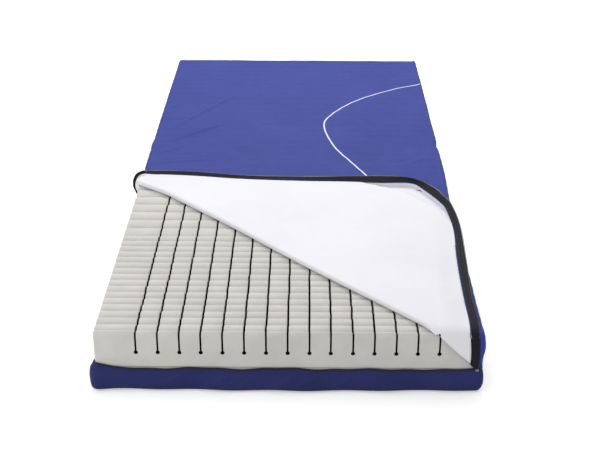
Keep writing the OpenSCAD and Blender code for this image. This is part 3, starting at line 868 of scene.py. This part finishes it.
def zip_half(label, end, bend, lower_nodes, upper_nodes):
    """Tapes, teeth and stitching of one half of the zip round the walls."""
    line, out = wall_line(end)
    up = np.tile([0, 0, 1.0], (len(line), 1))
    wave = edge_wave(line[:, 0], line[:, 1])[:, None] * up
    zip_line = line + up * ZIP_Z
    inside = zip_line - out * 0.9 * MM
    gap = 0.7 * MM
    rows = [inside + wave - up * d - out * d * 0.25 for d in (gap, 6 * MM, 16 * MM)]
    tape = make_grid_sheet(f"lower_zip_tape_{label}", rows, TAPE, [ZIP_TAPE, ZIP_TAPE],
                           facing=out)
    teeth = teeth_along(f"lower_zip_teeth_{label}", zip_line + wave - up * (gap + 2.3 * MM) + out * 0,
                        up, out)
    seam = stitches_along(f"lower_zip_seam_{label}", line + wave * 0.9 + up * (BASE_EDGE - 4 * MM)
                          + out * (1.0 * MM + seam_belly(line, wave)[:, None]), up, out,
                          DARK_THREAD)
    for obj in (tape, teeth, seam):
        bend(obj)
    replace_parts(tape, *[n + "_tape" for n in lower_nodes])
    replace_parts(teeth, *[n + "_teeth" for n in lower_nodes])
    closed = np.ones(len(line), bool)
    if end < 0:
        closed = ((line[:, 1] > OPEN_Y) | (line[:, 0] > STOP_X))
    parts = split_runs(closed)
    for n, part in enumerate(parts):
        side = ("left", "right")[n] if len(parts) > 1 else "round"
        here, here_out, here_up = zip_line[part], out[part], up[part]
        behind = here - here_out * 0.9 * MM
        rows = [behind + here_up * d - here_out * (0.6 * MM + 0.12 * d) for d in (16 * MM, 6 * MM, gap)]
        upper_tape = make_grid_sheet(f"upper_zip_tape_{label}_{side}", rows, TAPE,
                                     [ZIP_TAPE, ZIP_TAPE], facing=here_out)
        upper_teeth = teeth_along(f"upper_zip_teeth_{label}_{side}", here + here_up * (gap + 2.3 * MM),
                                  -here_up, here_out)
        upper_seam = stitches_along(f"upper_zip_seam_{label}_{side}",
                                    here + here_up * 8 * MM + here_out * 0.6 * MM, here_up, here_out,
                                    DARK_THREAD)
        for obj in (upper_tape, upper_teeth, upper_seam):
            bend(obj)
        if n == 0:
            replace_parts(upper_tape, *[u + "_tape" for u in upper_nodes])
            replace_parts(upper_teeth, *[u + "_teeth" for u in upper_nodes])


def seam_belly(line, wave):
    """How far the base wall stands out at its seam."""
    points = line.copy()
    points[:, 2] = BASE_EDGE - 4 * MM
    return base_relief(points)


def split_runs(flags):
    """Slices of the unbroken runs of True."""
    index = np.flatnonzero(flags)
    breaks = np.flatnonzero(np.diff(index) > 1)
    groups = np.split(index, breaks + 1)
    return [slice(g[0], g[-1] + 1) for g in groups]


def zip_round_walls():
    zip_half("foot_half", -1, bend_foot_half, ("leg_lower_zip", "seat_lower_zip"),
             ("leg_upper_zip", "seat_upper_zip"))
    zip_half("head_half", 1, bend_head_half, ("back_lower_zip",), ("back_upper_zip",))


# ---- Folded corner of the cover ----

ROLL_Z = FOLD_MID[2]
ROLL_R = FLAP_Z + 0.8 * MM - ROLL_Z
LINING_Z = ROLL_Z + ROLL_R
VALLEY_Z = 155.6 * MM
CORNER_V_CUT = CORNER_V - 165 * MM

# Hem of the folded corner, from its left end along the far side, round the corner and down the
# right side: the inner and the outer edge of the zip tape. It stands up round the corner, where
# the cover's box corner lifts it.
HEM_INNER = [(-0.423, -0.106, 0.1570), (-0.299, -0.116, 0.1570), (-0.132, -0.141, 0.1580),
             (0.021, -0.154, 0.1590), (0.150, -0.162, 0.1610), (0.249, -0.181, 0.1665),
             (0.337, -0.187, 0.1680), (0.374, -0.243, 0.1680), (0.406, -0.314, 0.1675),
             (0.418, -0.363, 0.1660), (0.425, -0.476, 0.1625), (0.416, -0.640, 0.1600),
             (0.411, -0.816, 0.1590), (0.410, -0.933, 0.1590), (0.408, -0.988, 0.1590)]
HEM_OUTER = [(-0.425, -0.094, 0.1600), (-0.300, -0.102, 0.1620), (-0.133, -0.129, 0.1620),
             (0.021, -0.138, 0.1630), (0.150, -0.147, 0.1685), (0.249, -0.159, 0.1750),
             (0.334, -0.174, 0.1765), (0.393, -0.240, 0.1768), (0.415, -0.300, 0.1768),
             (0.430, -0.346, 0.1762), (0.440, -0.467, 0.1710), (0.435, -0.645, 0.1615),
             (0.427, -0.814, 0.1580), (0.427, -0.930, 0.1570), (0.424, -0.988, 0.1570)]
HEM_STEPS = 20
HEM_SPLIT = int(7.0 * HEM_STEPS)
# Width of the pocket inside the standing corner, at places across the mattress
POCKET_X = (0.190, 0.249, 0.337, 0.374, 0.406, 0.420, 0.425)
POCKET_W = (0.000, 0.022, 0.062, 0.046, 0.030, 0.016, 0.000)

INNER = curve_through(HEM_INNER, HEM_STEPS)
OUTER = curve_through(HEM_OUTER, HEM_STEPS)


def foot_droop(y):
    """How far the folded corner bends down as it goes over the foot end."""
    over = np.clip((-END + 35 * MM - y) / (40 * MM), 0, 0.97)
    return 22 * MM * (1 - np.sqrt(1 - over ** 2))


def near_hem(xy):
    """For points seen from above: distance inside the hem's inner edge (negative beyond it), the
    edge's height at the nearest place, and the width of the pocket there."""
    line = INNER[:, :2]
    gaps = np.linalg.norm(xy[:, None, :] - line[None, :, :], axis=2)
    nearest = gaps.argmin(axis=1)
    t = tangents(line)
    inward = np.column_stack([t[:, 1], -t[:, 0]])[nearest]
    offset = ((xy - line[nearest]) * inward).sum(axis=1)
    distance = gaps[np.arange(len(xy)), nearest] * np.where(offset < 0, -1, 1)
    width = np.interp(line[:, 0], POCKET_X, POCKET_W)
    width[line[:, 1] < -0.45] = 0
    return distance, INNER[nearest, 2], width[nearest]


def lining_height(points):
    """Height of the lining of the folded corner at points seen from above."""
    xy = points[:, :2]
    inside, hem_z, pocket = near_hem(xy)
    height = LINING_Z + (hem_z - LINING_Z) * smooth(1 - inside / (60 * MM))
    flat = np.column_stack([xy, np.zeros(len(xy))])
    u, v = fold_place(flat)
    calm = smooth((v - 25 * MM) / (70 * MM)) * smooth((inside - pocket) / (50 * MM))
    height = height + calm * (1.0 * MM * waves(flat, 230 * MM, 5, 51)
                              + 0.45 * MM * waves(flat * [1, 2.6, 1], 100 * MM, 6, 52))
    share = np.clip(inside / np.maximum(pocket, 1 * MM), 0, 1.2)
    hollow = smooth((1.05 - share) / 0.30) * smooth(pocket / (20 * MM))
    height = height - hollow * (height - VALLEY_Z)
    height = height - np.clip(-0.9 * inside, 0, np.maximum(height - VALLEY_Z, 0))
    return height - foot_droop(xy[:, 1])


def flap_grid(v_low, v_high, step):
    """Places along the fold and across it for a grid in the plane of the flap; cut_outside later cuts that
    grid to the triangle between the fold and the creases.
    """
    us = np.linspace(0, FOLD_LENGTH, int(FOLD_LENGTH / step) + 1)
    vs = np.linspace(v_low, v_high, int((v_high - v_low) / step) + 2)
    return us, vs


def cut_outside(verts, faces, marks):
    """Cuts the flap's grid along the two creases."""
    bm = bmesh.new()
    layer = bm.verts.layers.int.new("roll")
    made = [bm.verts.new(v) for v in verts]
    for v, mark in zip(made, marks):
        v[layer] = int(mark)
    for f in faces:
        bm.faces.new([made[i] for i in f])
    for place, along in ((FOLD_START, SIDE_CREASE), (FOLD_STOP, END_CREASE)):
        out = Vector((-along[1], along[0], 0))
        start = Vector((place[0], place[1], 0))
        flat = [f for f in bm.faces if all(v[layer] == 0 for v in f.verts)]
        geom = list({e for f in flat for e in (*f.verts, *f.edges)}) + flat
        bmesh.ops.bisect_plane(bm, geom=geom, dist=1e-6, plane_co=start, plane_no=out)
        gone = [f for f in bm.faces if all(v[layer] == 0 for v in f.verts)
                and (f.calc_center_median() - start) @ out > 0]
        bmesh.ops.delete(bm, geom=gone, context="FACES")
    bm.verts.index_update()
    new_verts = np.array([v.co[:] for v in bm.verts])
    new_marks = np.array([v[layer] for v in bm.verts])
    new_faces = [tuple(v.index for v in f.verts) for f in bm.faces]
    bm.free()
    return new_verts, new_faces, new_marks


def flap_main():
    """The roll at the fold and the flap up to where its corner begins."""
    step = 12 * MM
    us, vs = flap_grid(0, CORNER_V_CUT, step)
    turns = np.linspace(0, math.pi, 15)[:-1]
    rows, marks = [], []
    for n in range(len(turns)):
        rows.append(np.tile(FOLD_START, (len(us), 1)) * [1, 1, 0] + us[:, None] * FOLD_DIR)
        marks += [n + 1] * len(us)
    for v in vs:
        rows.append(np.tile(FOLD_START, (len(us), 1)) * [1, 1, 0] + us[:, None] * FOLD_DIR
                    + v * FOLD_OUT)
        marks += [0] * len(us)
    verts, faces, marks = cut_outside(np.vstack(rows), grid_faces(len(rows), len(us)), marks)
    u, v = fold_place(verts * [1, 1, 0] + [0, 0, 0])
    v = (verts[:, :2] - FOLD_START[:2]) @ FOLD_OUT[:2]
    on_roll = marks > 0
    turn = np.where(on_roll, turns[np.clip(marks - 1, 0, len(turns) - 1)], math.pi)
    shift = fold_shift(u) * np.where(on_roll, 1, hump(v / (60 * MM)))
    verts = verts + (shift - np.where(on_roll, ROLL_R * np.sin(turn), 0))[:, None] * FOLD_OUT
    rolled = ROLL_Z - ROLL_R * np.cos(turn)
    rolled = rolled - np.minimum(foot_droop(verts[:, 1]), 2 * ROLL_R) * (1 - np.cos(turn)) / 2
    verts[:, 2] = np.where(on_roll, rolled, lining_height(verts))
    obj = make_sheet("folded_corner_sheet", verts, faces, FABRIC, [LINING, BLUE])
    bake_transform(obj)
    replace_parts(obj, "flap_sheet")


def flap_corner():
    """The flap's corner, where the cover's box corner stands up."""
    us, vs = flap_grid(CORNER_V_CUT, CORNER_V + 4 * MM, 6 * MM)
    rows = [np.tile(FOLD_START, (len(us), 1)) * [1, 1, 0] + us[:, None] * FOLD_DIR + v * FOLD_OUT
            for v in vs]
    verts, faces, _ = cut_outside(np.vstack(rows), grid_faces(len(rows), len(us)),
                                  [0] * len(rows) * len(us))
    used = sorted({i for f in faces for i in f})
    renumber = {old: new for new, old in enumerate(used)}
    verts = verts[used]
    faces = [tuple(renumber[i] for i in f) for f in faces]
    verts[:, 2] = lining_height(verts)
    obj = make_sheet("folded_corner_tip", verts, faces, FABRIC, [LINING, BLUE])
    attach(obj, "cover_flap")
    press_flat(obj)


def press_flat(obj):
    """Gives a raised part of the folded corner its own copy of its mesh; it does not flatten the part as the
    corner closes.
    """
    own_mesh(obj)


def evenly(line, count):
    """The line as count points, evenly spaced."""
    reach = np.concatenate([[0], np.cumsum(np.linalg.norm(np.diff(line[:, :2], axis=0), axis=1))])
    at = np.linspace(0, reach[-1], count)
    return np.column_stack([np.interp(at, reach, line[:, k]) for k in range(line.shape[1])])


def wall_strip(name, crease_start, crease_stop, part, body, nodes):
    """A wall panel of the folded corner, from its crease to its hem and on under the tape."""
    count = 130
    edges = evenly(np.hstack([INNER[part], OUTER[part]]), count)
    inner, outer = edges[:, :3], edges[:, 3:]
    crease = crease_start[:2] + (crease_stop - crease_start)[:2] * np.linspace(0, 1, count)[:, None]
    inside = unit(FOLD_MID[:2] - crease) * 6 * MM
    rows = [np.column_stack([crease + inside, lining_height(crease + inside) - 1.1 * MM]),
            np.column_stack([crease + inside / 6, lining_height(crease + inside / 6) - 0.1 * MM])]
    for share in np.linspace(0, 1, 17)[1:-1]:
        plan = crease * (1 - share) + inner[:, :2] * share
        rows.append(np.column_stack([plan, lining_height(plan)]))
    foot_of_wall = np.column_stack([inner[:, :2], np.minimum(lining_height(inner), inner[:, 2])])
    rows += [foot_of_wall + (inner - foot_of_wall) * share for share in (0, 0.33, 0.67)]
    rows += [inner + (outer - inner) * share for share in (0, 0.5, 1)]
    for row in rows[-3:]:
        row[:, 2] -= foot_droop(row[:, 1])
    obj = make_grid_sheet(name, rows, FABRIC, [LINING, BLUE])
    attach(obj, body)
    press_flat(obj)
    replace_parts(obj, *nodes)


def folded_zip(label, part, body, nodes):
    """Tape, teeth, welt and stitching along one hem of the folded corner."""
    line = resample(np.hstack([INNER[part], OUTER[part]]), 6 * MM)
    inner, outer = line[:, :3], line[:, 3:]
    for edge in (inner, outer):
        edge[:, 2] -= foot_droop(edge[:, 1])
    across = unit(outer - inner)
    face = unit(np.cross(tangents(inner), across))

    def lifted(offset, rise):
        """The inner edge moved across the tape and off it; offset 1 is the outer edge."""
        return inner + (outer - inner) * offset + face * rise

    rows = [lifted(d, 0.9 * MM) for d in (0, 0.25, 0.5, 0.75, 1.03)]
    tape = make_grid_sheet(f"{label}_tape", rows, TAPE, [ZIP_TAPE, ZIP_TAPE], facing=face)
    welt_rows = [inner - across * d * MM + face * h * MM
                 for d, h in ((-0.6, 1.0), (0.4, 1.3), (1.6, 0.9), (2.2, 0.1))]
    welt = make_grid_sheet(f"{label}_welt", welt_rows, 0.5 * MM, [NAVY, NAVY],
                           facing=face)
    teeth = teeth_along(f"{label}_teeth", lifted(1.03, 0.45 * MM), across, face)
    seams = [stitches_along(f"{label}_seam_{n}", lifted(d, 1.0 * MM), across, face,
                            DARK_THREAD) for n, d in enumerate((0.22, 0.75))]
    for obj in (tape, welt, teeth, *seams):
        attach(obj, body)
        press_flat(obj)
    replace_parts(tape, nodes + "_zip_tape")
    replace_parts(teeth, nodes + "_zip_teeth")


def spare_wall(label, start, along, far_start, far_stop, body):
    """The rest of a wall panel, which lies flat on the top cover under the hem and carries the
    zip's edge when the corner is closed. Far_start and far_stop are its width at its two ends."""
    out = np.array([-along[1], along[0], 0])
    count = 60
    length = np.linspace(0, 1, count)[:, None]
    far = far_start + (far_stop - far_start) * length
    line = start * [1, 1, 0] + along * [1, 1, 0] * length * SPARE_LENGTH[label]
    level = np.array([0, 0, SPARE_Z])
    rows = [line + out * (12 * MM + (far - 12 * MM) * share) + level for share in np.linspace(0, 1, 7)]
    sheet = make_grid_sheet(f"spare_wall_{label}", rows, 0.5 * MM, [BLUE, BLUE])
    band = [line + out * (far - d) + level - [0, 0, 0.7 * MM] for d in (15 * MM, 8 * MM, 0.6 * MM)]
    tape = make_grid_sheet(f"spare_tape_{label}", band, 0.4 * MM, [ZIP_TAPE, ZIP_TAPE],
                           facing=(0, 0, -1))
    for obj in (sheet, tape):
        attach(obj, body)
        press_flat(obj)


SPARE_Z = 154.6 * MM
SPARE_LENGTH = {"side": SIDE_CREASE_L, "end": 330 * MM}


def hidden_guards():
    """Strips of cover out of sight inside the fold and behind the base cover's wall, fixed to the leg section
    so that no foam shows there."""
    us = np.linspace(40 * MM, FOLD_LENGTH - 62 * MM, 60)[:, None]
    line = FOLD_START * [1, 1, 0] + FOLD_DIR * us + [0, 0, ROLL_Z + 0.9 * MM]
    line[:, 2:] += 1.3 * MM * us / FOLD_LENGTH
    rows = [line + FOLD_OUT * d for d in np.linspace(12 * MM, 92 * MM, 9)]
    strip = make_grid_sheet("fold_guard", rows, 0.5 * MM, [BLUE, BLUE])
    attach(strip, "leg_section")
    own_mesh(strip)
    foot = [(x, -END + 2.7 * MM) for x in np.linspace(-SIDE + 8 * MM, 0.20, 60)]
    side = [(-SIDE + 2.3 * MM, y) for y in np.linspace(-0.25, OPEN_Y, 20)]
    for label, plan, facing in (("foot", foot, (0, -1, 0)), ("side", side, (-1, 0, 0))):
        line = np.column_stack([np.array(plan), np.zeros(len(plan))])
        rows = [line + [0, 0, z] for z in np.linspace(6 * MM, 51 * MM, 6)]
        strip = make_grid_sheet(f"zip_guard_{label}", rows, 0.4 * MM, [BLUE, BLUE],
                                facing=facing)
        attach(strip, "leg_section")
        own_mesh(strip)


def folded_corner():
    side_part, end_part = slice(0, HEM_SPLIT + 1), slice(HEM_SPLIT, None)
    flap_main()
    flap_corner()
    wall_strip("folded_side_wall", FOLD_START, CORNER, side_part, "flap_side_wall",
               ["flap_side_panel"])
    wall_strip("folded_end_wall", CORNER, FOLD_STOP, end_part, "flap_end_wall", ["flap_end_panel"])
    folded_zip("folded_side_zip", side_part, "flap_side_wall", "flap_side")
    folded_zip("folded_end_zip", end_part, "flap_end_wall", "flap_end")
    side_way = (CORNER - FOLD_START) / SIDE_CREASE_L
    end_way = (FOLD_STOP - CORNER) / END_CREASE_L
    spare_wall("side", FOLD_START, side_way, WALL, WALL, "flap_side_wall")
    spare_wall("end", CORNER, end_way, 57 * MM, 72 * MM, "flap_end_wall")
    hidden_guards()


# ---- Gussets at the ends of the fold ----

def gusset_grid(start, top, low, rows, columns):
    """Points of a triangle, row by row from its top edge (start to top) down to its low corner."""
    grid = []
    for r in np.linspace(0, 1, rows):
        a, b = start + r * (low - start), top + r * (low - top)
        grid.append(a + (b - a) * np.linspace(0, 1, columns)[:, None])
    return grid


# Free edge of the gusset on the left side, from the hem's left end down to the slider
LOOP = [(-0.423, -0.106, 0.1575), (-0.435, -0.104, 0.1555), (-0.4475, -0.101, 0.1475),
        (-0.4555, -0.099, 0.131), (-0.4565, -0.098, 0.115), (-0.4505, -0.098, 0.099), (-0.444, -0.094, 0.080),
        (-0.4425, OPEN_Y - 3 * MM, LID_EDGE)]


def side_gusset():
    """The piece of wall below the left end of the fold, turned out and hanging over the side."""
    edge = evenly(curve_through(LOOP, 10), 40)
    start = np.array([-SIDE - 0.8 * MM, FOLD_START[1] + 1 * MM, LINING_Z - 5 * MM])
    crease = start + (edge[-1] - start) * np.linspace(0, 1, 40)[:, None]
    rows = []
    for share in np.linspace(0, 1, 12):
        row = crease + (edge - crease) * share
        row[:, 0] -= 7 * MM * math.sin(math.pi * share) * smooth((FLAP_Z - row[:, 2]) / (30 * MM))
        row[:, 2] += 2.5 * MM * math.sin(math.pi * share) * smooth((row[:, 2] - 0.145) / (8 * MM))
        rows.append(row)
    obj = make_grid_sheet("side_gusset_sheet", rows, FABRIC, [LINING, BLUE],
                          facing=(-1, 0, 0.3))
    t = tangents(edge)
    outward = unit(np.column_stack([t[:, 2], np.zeros(40), -t[:, 0]]))
    outward *= np.where(outward[:, :1] > 0, -1, 1)
    turn = smooth(np.linspace(0, 1, 40) / 0.2)[:, None]
    wide = unit(outward * turn + np.array([-0.15, 1, 0.3]) * (1 - turn))
    face = unit(np.cross(t, wide))
    face *= np.where(face[:, 1:2] > 0, -1, 1) * turn + (1 - turn)
    ribbon = [edge + wide * d * MM + unit(face) * 0.9 * MM for d in (-1, 3, 7.5)]
    tape = make_grid_sheet("side_gusset_tape", ribbon, TAPE, [ZIP_TAPE, ZIP_TAPE],
                           facing=(0, -1, 0.4))
    teeth = teeth_along("side_gusset_teeth", edge + wide * 7 * MM, wide, face)
    for piece in (obj, tape, teeth):
        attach(piece, "side_gusset_fold")
        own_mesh(piece)
    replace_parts(obj, "side_gusset")
    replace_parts(tape, "side_gusset_zip_tape")
    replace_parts(teeth, "side_gusset_zip_teeth")


def corner_gusset():
    """The piece of wall below the right end of the fold, turned out over the foot end."""
    wall_y = -END - 3.0 * MM
    box_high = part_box("corner_gusset")[1]
    hem = (INNER[-1] + OUTER[-1]) / 2
    drop = foot_droop(np.array([-END - 2.5 * MM]))[0] + 4 * MM
    start = np.array([FOLD_STOP[0] + 4 * MM, wall_y, LINING_Z - drop])
    top = np.array([OUTER[-1, 0], wall_y, hem[2] - drop])
    low = np.array([box_high.x + 1 * MM, wall_y, LID_EDGE])
    grid = gusset_grid(start, top, low, 26, 18)
    share = np.linspace(0, 1, 18)
    rows = []
    for y in (-END + 8 * MM, -END + 4 * MM, -END + 1 * MM, -END - 1.5 * MM):
        over = np.column_stack([grid[0][:, 0], np.full(18, y)])
        over = np.column_stack([over, lining_height(over) + 0.4 * MM])
        rows.append(over)
    for n, row in enumerate(grid):
        fall = n / 25
        out = 5 * MM * math.sin(math.pi * min(1, fall * 0.95)) * np.sin(math.pi * (0.14 + 0.8 * share))
        lean = 2.5 * MM * math.sin(math.pi * fall) * share
        rows.append(row + np.column_stack([lean, -out, np.zeros(18)]))
    obj = make_grid_sheet("corner_gusset_sheet", rows, FABRIC, [LINING, BLUE],
                          facing=(0, -1, 0))
    edge = np.array([r[-1] for r in rows])
    wide = np.array([min(TAPE_W - 1 * MM, r[-1][0] - r[0][0]) for r in rows])
    out = np.tile([0, -0.8, 0.6], (len(rows), 1))
    out[4:] = [0, -1.0, 0]
    side_way = np.tile([1.0, 0, 0], (len(rows), 1))
    lift = out * 1.3 * MM
    bulge = np.array([[0, min(r[:, 1]) - r[-1][1], 0] for r in rows])
    ribbon = [edge + lift + side_way * 2.5 * MM, edge + lift - side_way * wide[:, None] * 0.5 + bulge * 0.5,
              edge + lift - side_way * wide[:, None] + bulge]
    tape = make_grid_sheet("corner_gusset_tape", ribbon, TAPE, [ZIP_TAPE, ZIP_TAPE],
                           facing=(0, -1, 0))
    teeth = teeth_along("corner_gusset_teeth", edge + side_way * 2 * MM, side_way, out)
    for piece in (obj, tape, teeth):
        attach(piece, "corner_gusset_fold")
        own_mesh(piece)
    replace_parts(obj, "corner_gusset")
    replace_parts(tape, "corner_gusset_zip_tape")
    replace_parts(teeth, "corner_gusset_zip_teeth")


# ---- Printed line, metal parts ----

def printed_line():
    """A plain white arc printed on the top cover, in two pieces that meet at the split."""
    control = [(0.436, 0.709), (0.330, 0.648), (0.201, 0.531), (0.118, 0.395), (0.0955, 0.294),
               (0.124, 0.126), (0.171, 0.005), (0.225, -0.125)]
    line = resample(curve_through(control, 24), 5 * MM)
    t = tangents(line)
    across = np.column_stack([t[:, 1], -t[:, 0]])
    rows = []
    for offset in np.linspace(-2.3 * MM, 2.3 * MM, 4):
        plan = line + across * offset
        sharp = np.column_stack([plan, np.full(len(plan), TOP)])
        shaped, normals = rounded(sharp, (-SIDE, -END, -1), (SIDE, END, TOP), EDGE_R)
        rows.append(shaped + normals * (cover_relief(sharp) + 0.45 * MM)[:, None])
    cut = int(np.argmin(abs(line[:, 1] - SPLIT)))
    for label, part, bend in (("head_half", slice(0, cut + 1), bend_head_half),
                              ("foot_half", slice(cut, None), bend_foot_half)):
        obj = make_grid_sheet(f"printed_line_{label}", [r[part] for r in rows], 0.25 * MM, [INK, INK])
        bend(obj)


def metal_parts():
    """The slider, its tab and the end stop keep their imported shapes."""
    for node in ("zip_slider", "zip_pull_tab", "zip_end_stop"):
        obj = frame["nodes"][node]
        obj.data.materials.clear()
        obj.data.materials.append(METAL)


# ---- Stage ----

FLOOR_GLOW = 0.36
SKY_LOW = 0.50
SKY_HIGH = 0.88

def floor_material():
    m = Nodes("studio_floor", 0.9, specular=0.1)
    m.shader.inputs["Emission Color"].default_value = (1, 1, 1, 1)
    seen = m.add("ShaderNodeLightPath").outputs["Is Camera Ray"]
    m.link(m.math("MULTIPLY", seen, FLOOR_GLOW), m.shader.inputs["Emission Strength"])
    return m.colour(m.noise(2, 2), (0.90, 0.90, 0.90), (0.92, 0.92, 0.92)).material


def make_floor():
    mesh = bpy.data.meshes.new("studio_floor")
    size = 30
    mesh.from_pydata([(-size, -size, 0), (size, -size, 0), (size, size, 0), (-size, size, 0)], [],
                     [(0, 1, 2, 3)])
    mesh.materials.append(floor_material())
    floor = bpy.data.objects.new("studio_floor", mesh)
    floor.location.z = -0.5 * MM
    bpy.context.scene.collection.objects.link(floor)


def area_light(name, place, target, size, power):
    light = bpy.data.lights.new(name, "AREA")
    light.shape = "SQUARE"
    light.size = size
    light.energy = power
    obj = bpy.data.objects.new(name, light)
    obj.location = place
    obj.rotation_euler = (Vector(target) - Vector(place)).to_track_quat("-Z", "Y").to_euler()
    bpy.context.scene.collection.objects.link(obj)


def studio_world():
    """Light from all round, brighter overhead; the camera itself sees plain white."""
    world = bpy.data.worlds.new("studio")
    world.use_nodes = True
    tree = world.node_tree
    background = tree.nodes["Background"]
    background.inputs["Color"].default_value = (1, 1, 1, 1)
    place = tree.nodes.new("ShaderNodeTexCoord")
    split = tree.nodes.new("ShaderNodeSeparateXYZ")
    overhead = tree.nodes.new("ShaderNodeMapRange")
    overhead.inputs["To Min"].default_value = SKY_LOW
    overhead.inputs["To Max"].default_value = SKY_HIGH
    path = tree.nodes.new("ShaderNodeLightPath")
    seen = tree.nodes.new("ShaderNodeMath")
    seen.operation = "MAXIMUM"
    tree.links.new(place.outputs["Generated"], split.inputs[0])
    tree.links.new(split.outputs["Z"], overhead.inputs["Value"])
    tree.links.new(path.outputs["Is Camera Ray"], seen.inputs[0])
    tree.links.new(overhead.outputs[0], seen.inputs[1])
    tree.links.new(seen.outputs[0], background.inputs["Strength"])
    return world


def make_lights():
    bpy.context.scene.world = studio_world()
    area_light("key", (-0.1, 2.7, 3.1), (0, -0.2, 0.1), 2.4, 96)
    area_light("fill", (-2.2, -2.2, 1.3), (-0.2, -1.0, 0.1), 1.2, 17)
    bpy.context.scene.view_settings.view_transform = "Standard"


def make_camera():
    place, pitch, yaw, roll = (0.0395, -3.2307, 1.5067), 0.4506, -0.0057, 0.0036
    ahead = np.array([math.sin(yaw) * math.cos(pitch), math.cos(yaw) * math.cos(pitch),
                      -math.sin(pitch)])
    right = np.array([math.cos(yaw), -math.sin(yaw), 0])
    up = np.cross(right, ahead)
    right, up = (math.cos(roll) * right + math.sin(roll) * up,
                 math.cos(roll) * up - math.sin(roll) * right)
    data = bpy.data.cameras.new("camera")
    data.lens = 70.56
    data.sensor_width = 36
    camera = bpy.data.objects.new("camera", data)
    matrix = Matrix([(*row, p) for row, p in zip(np.column_stack([right, up, -ahead]).tolist(), place)]
                    + [(0, 0, 0, 1)])
    camera.matrix_world = matrix
    bpy.context.scene.collection.objects.link(camera)
    bpy.context.scene.camera = camera


cell_foam()
base_foam()
top_cover()
base_cover()
zip_round_walls()
folded_corner()
side_gusset()
corner_gusset()
printed_line()
metal_parts()
make_floor()
make_lights()
make_camera()
